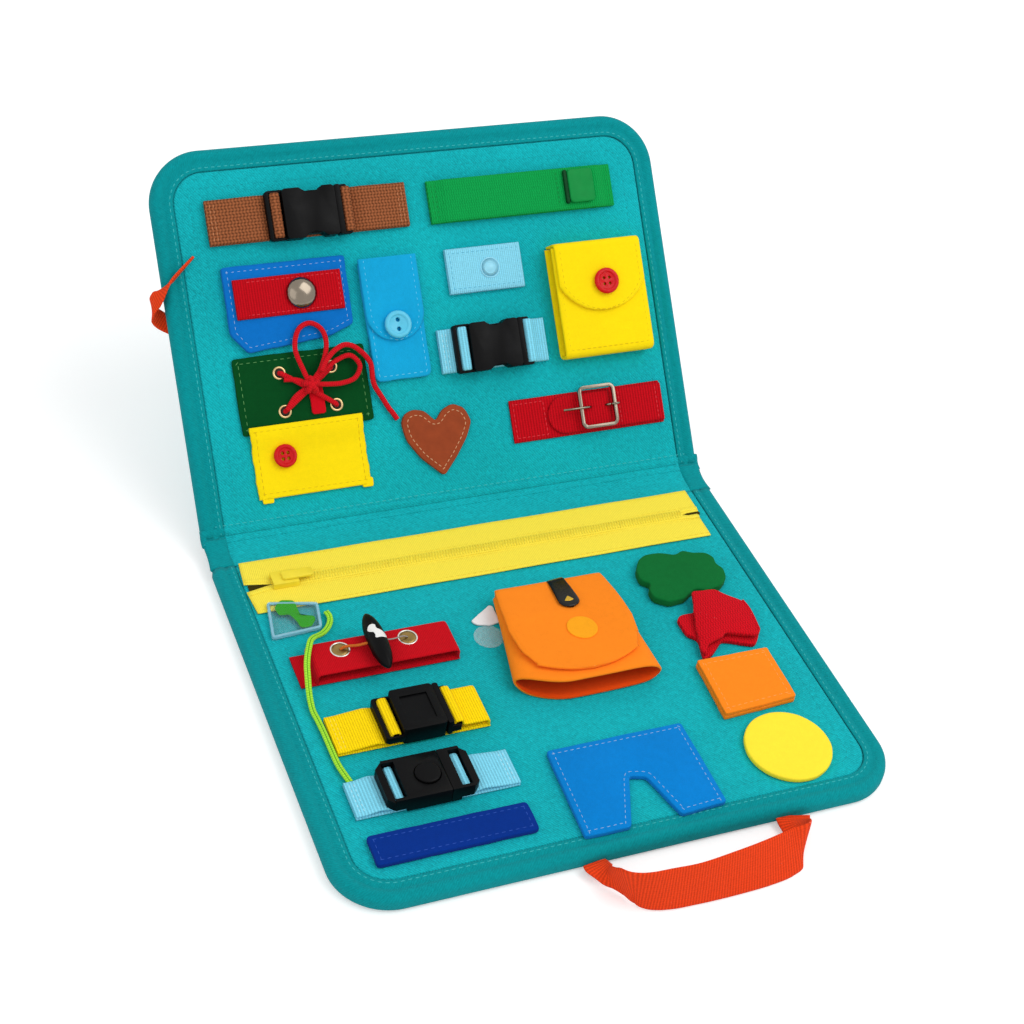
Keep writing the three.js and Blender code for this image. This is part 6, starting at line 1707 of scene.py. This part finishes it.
class BOARD_OT_stage(bpy.types.Operator):
    """Builds the camera, the floor, the lights and the white surroundings"""

    bl_idname = "board.stage"
    bl_label = "Stage"

    def execute(self, context):
        self.camera()
        self.floor()
        self.light("Key", (0.9, -0.5, 1.7), 13.5, 1.3)
        self.light("Fill", (-1.1, -0.9, 1.2), 5.0, 1.4)
        world = bpy.data.worlds.new("Surroundings")
        bpy.context.scene.world = world
        world.use_nodes = True
        world.node_tree.nodes.clear()
        tree = Tree(world.node_tree)
        strength = tree.sum(tree.times(tree.seen(), 0.35), 0.7)
        back = tree.add("ShaderNodeBackground", {"Color": (1, 1, 1, 1), "Strength": strength})
        tree.add("ShaderNodeOutputWorld", {0: back.outputs[0]})
        bpy.context.scene.view_settings.view_transform = "Standard"
        return {"FINISHED"}

    def camera(self):
        """The camera fitted to the panels' corners: its heading, height and roll, and its distance from the fold."""
        azimuth, elevation, roll = (math.radians(v) for v in (-27.76, 40.78, 9.73))
        level = math.cos(elevation)
        back = np.array([math.sin(azimuth) * level, -math.cos(azimuth) * level, math.sin(elevation)])
        right = np.array([math.cos(azimuth), math.sin(azimuth), 0])
        up = np.cross(back, right)
        r = math.cos(roll) * right + math.sin(roll) * up
        u = -math.sin(roll) * right + math.cos(roll) * up
        data = bpy.data.cameras.new("Camera")
        data.lens = 67.96
        data.sensor_width = 36.0
        obj = bpy.data.objects.new("Camera", data)
        matrix = np.eye(4)
        matrix[:3, :3] = np.column_stack([r, u, back])
        matrix[:3, 3] = (26.05 * r + 0.13 * u + 1094.17 * back + [0, 129, 9]) / 1000
        obj.matrix_world = Matrix(matrix.tolist())
        bpy.context.scene.collection.objects.link(obj)
        bpy.context.scene.camera = obj

    def floor(self):
        """A large round floor, white where nothing shades it."""
        points = np.column_stack([circle_outline(8, (0, 0)), np.full(64, -0.0004)])
        mesh = bpy.data.meshes.new("Floor")
        mesh.from_pydata(points.tolist(), [], [list(range(len(points)))])
        material, tree, surface, _ = started("Floor", {
            "Base Color": (0.86, 0.86, 0.86, 1), "Roughness": 0.9, "Specular IOR Level": 0.1,
        })
        strength = tree.times(tree.seen(), 0.34)
        glow = tree.add("ShaderNodeEmission", {"Color": (1, 1, 1, 1), "Strength": strength})
        both = tree.add("ShaderNodeAddShader", {0: surface.outputs[0], 1: glow.outputs[0]})
        out = next(n for n in material.node_tree.nodes if n.type == "OUTPUT_MATERIAL")
        material.node_tree.links.new(both.outputs[0], out.inputs[0])
        mesh.materials.append(material)
        obj = bpy.data.objects.new("Floor", mesh)
        bpy.context.scene.collection.objects.link(obj)

    def light(self, name, at, power, size):
        """A square area lamp that faces the middle of the board."""
        data = bpy.data.lights.new(name, "AREA")
        data.energy = power
        data.size = size
        obj = bpy.data.objects.new(name, data)
        towards = Vector((0.0, 0.05, 0.03)) - Vector(at)
        obj.matrix_world = Matrix.Translation(at) @ towards.to_track_quat("-Z", "Y").to_matrix().to_4x4()
        bpy.context.scene.collection.objects.link(obj)


class BOARD_PT_sidebar(bpy.types.Panel):
    """Lists the pieces in the sidebar"""

    bl_idname = "BOARD_PT_sidebar"
    bl_label = "Felt Sensory Board"
    bl_space_type = "VIEW_3D"
    bl_region_type = "UI"
    bl_category = "Sensory Board"

    def draw(self, context):
        for operator in OPERATORS:
            self.layout.operator(operator.bl_idname)
        for group in (context.scene.board_colours, context.scene.board_sizes):
            for key in group.bl_rna.properties.keys():
                if key not in ("rna_type", "name"):
                    self.layout.prop(group, key)


OPERATORS = [
    BOARD_OT_stage, BOARD_OT_panels, BOARD_OT_straps, BOARD_OT_hardware, BOARD_OT_pockets, BOARD_OT_lacing,
    BOARD_OT_small_straps, BOARD_OT_zip, BOARD_OT_toggle, BOARD_OT_shapes, BOARD_OT_handle,
]
CLASSES = [BoardColours, BoardSizes, *OPERATORS, BOARD_PT_sidebar]


def register():
    for cls in CLASSES:
        bpy.utils.register_class(cls)
    bpy.types.Scene.board_colours = bpy.props.PointerProperty(type=BoardColours)
    bpy.types.Scene.board_sizes = bpy.props.PointerProperty(type=BoardSizes)


def unregister():
    del bpy.types.Scene.board_sizes
    del bpy.types.Scene.board_colours
    for cls in reversed(CLASSES):
        bpy.utils.unregister_class(cls)


def main():
    register()
    for operator in OPERATORS:
        group, name = operator.bl_idname.split(".")
        getattr(getattr(bpy.ops, group), name)()
    bpy.context.view_layer.update()


if __name__ == "__main__":
    main()
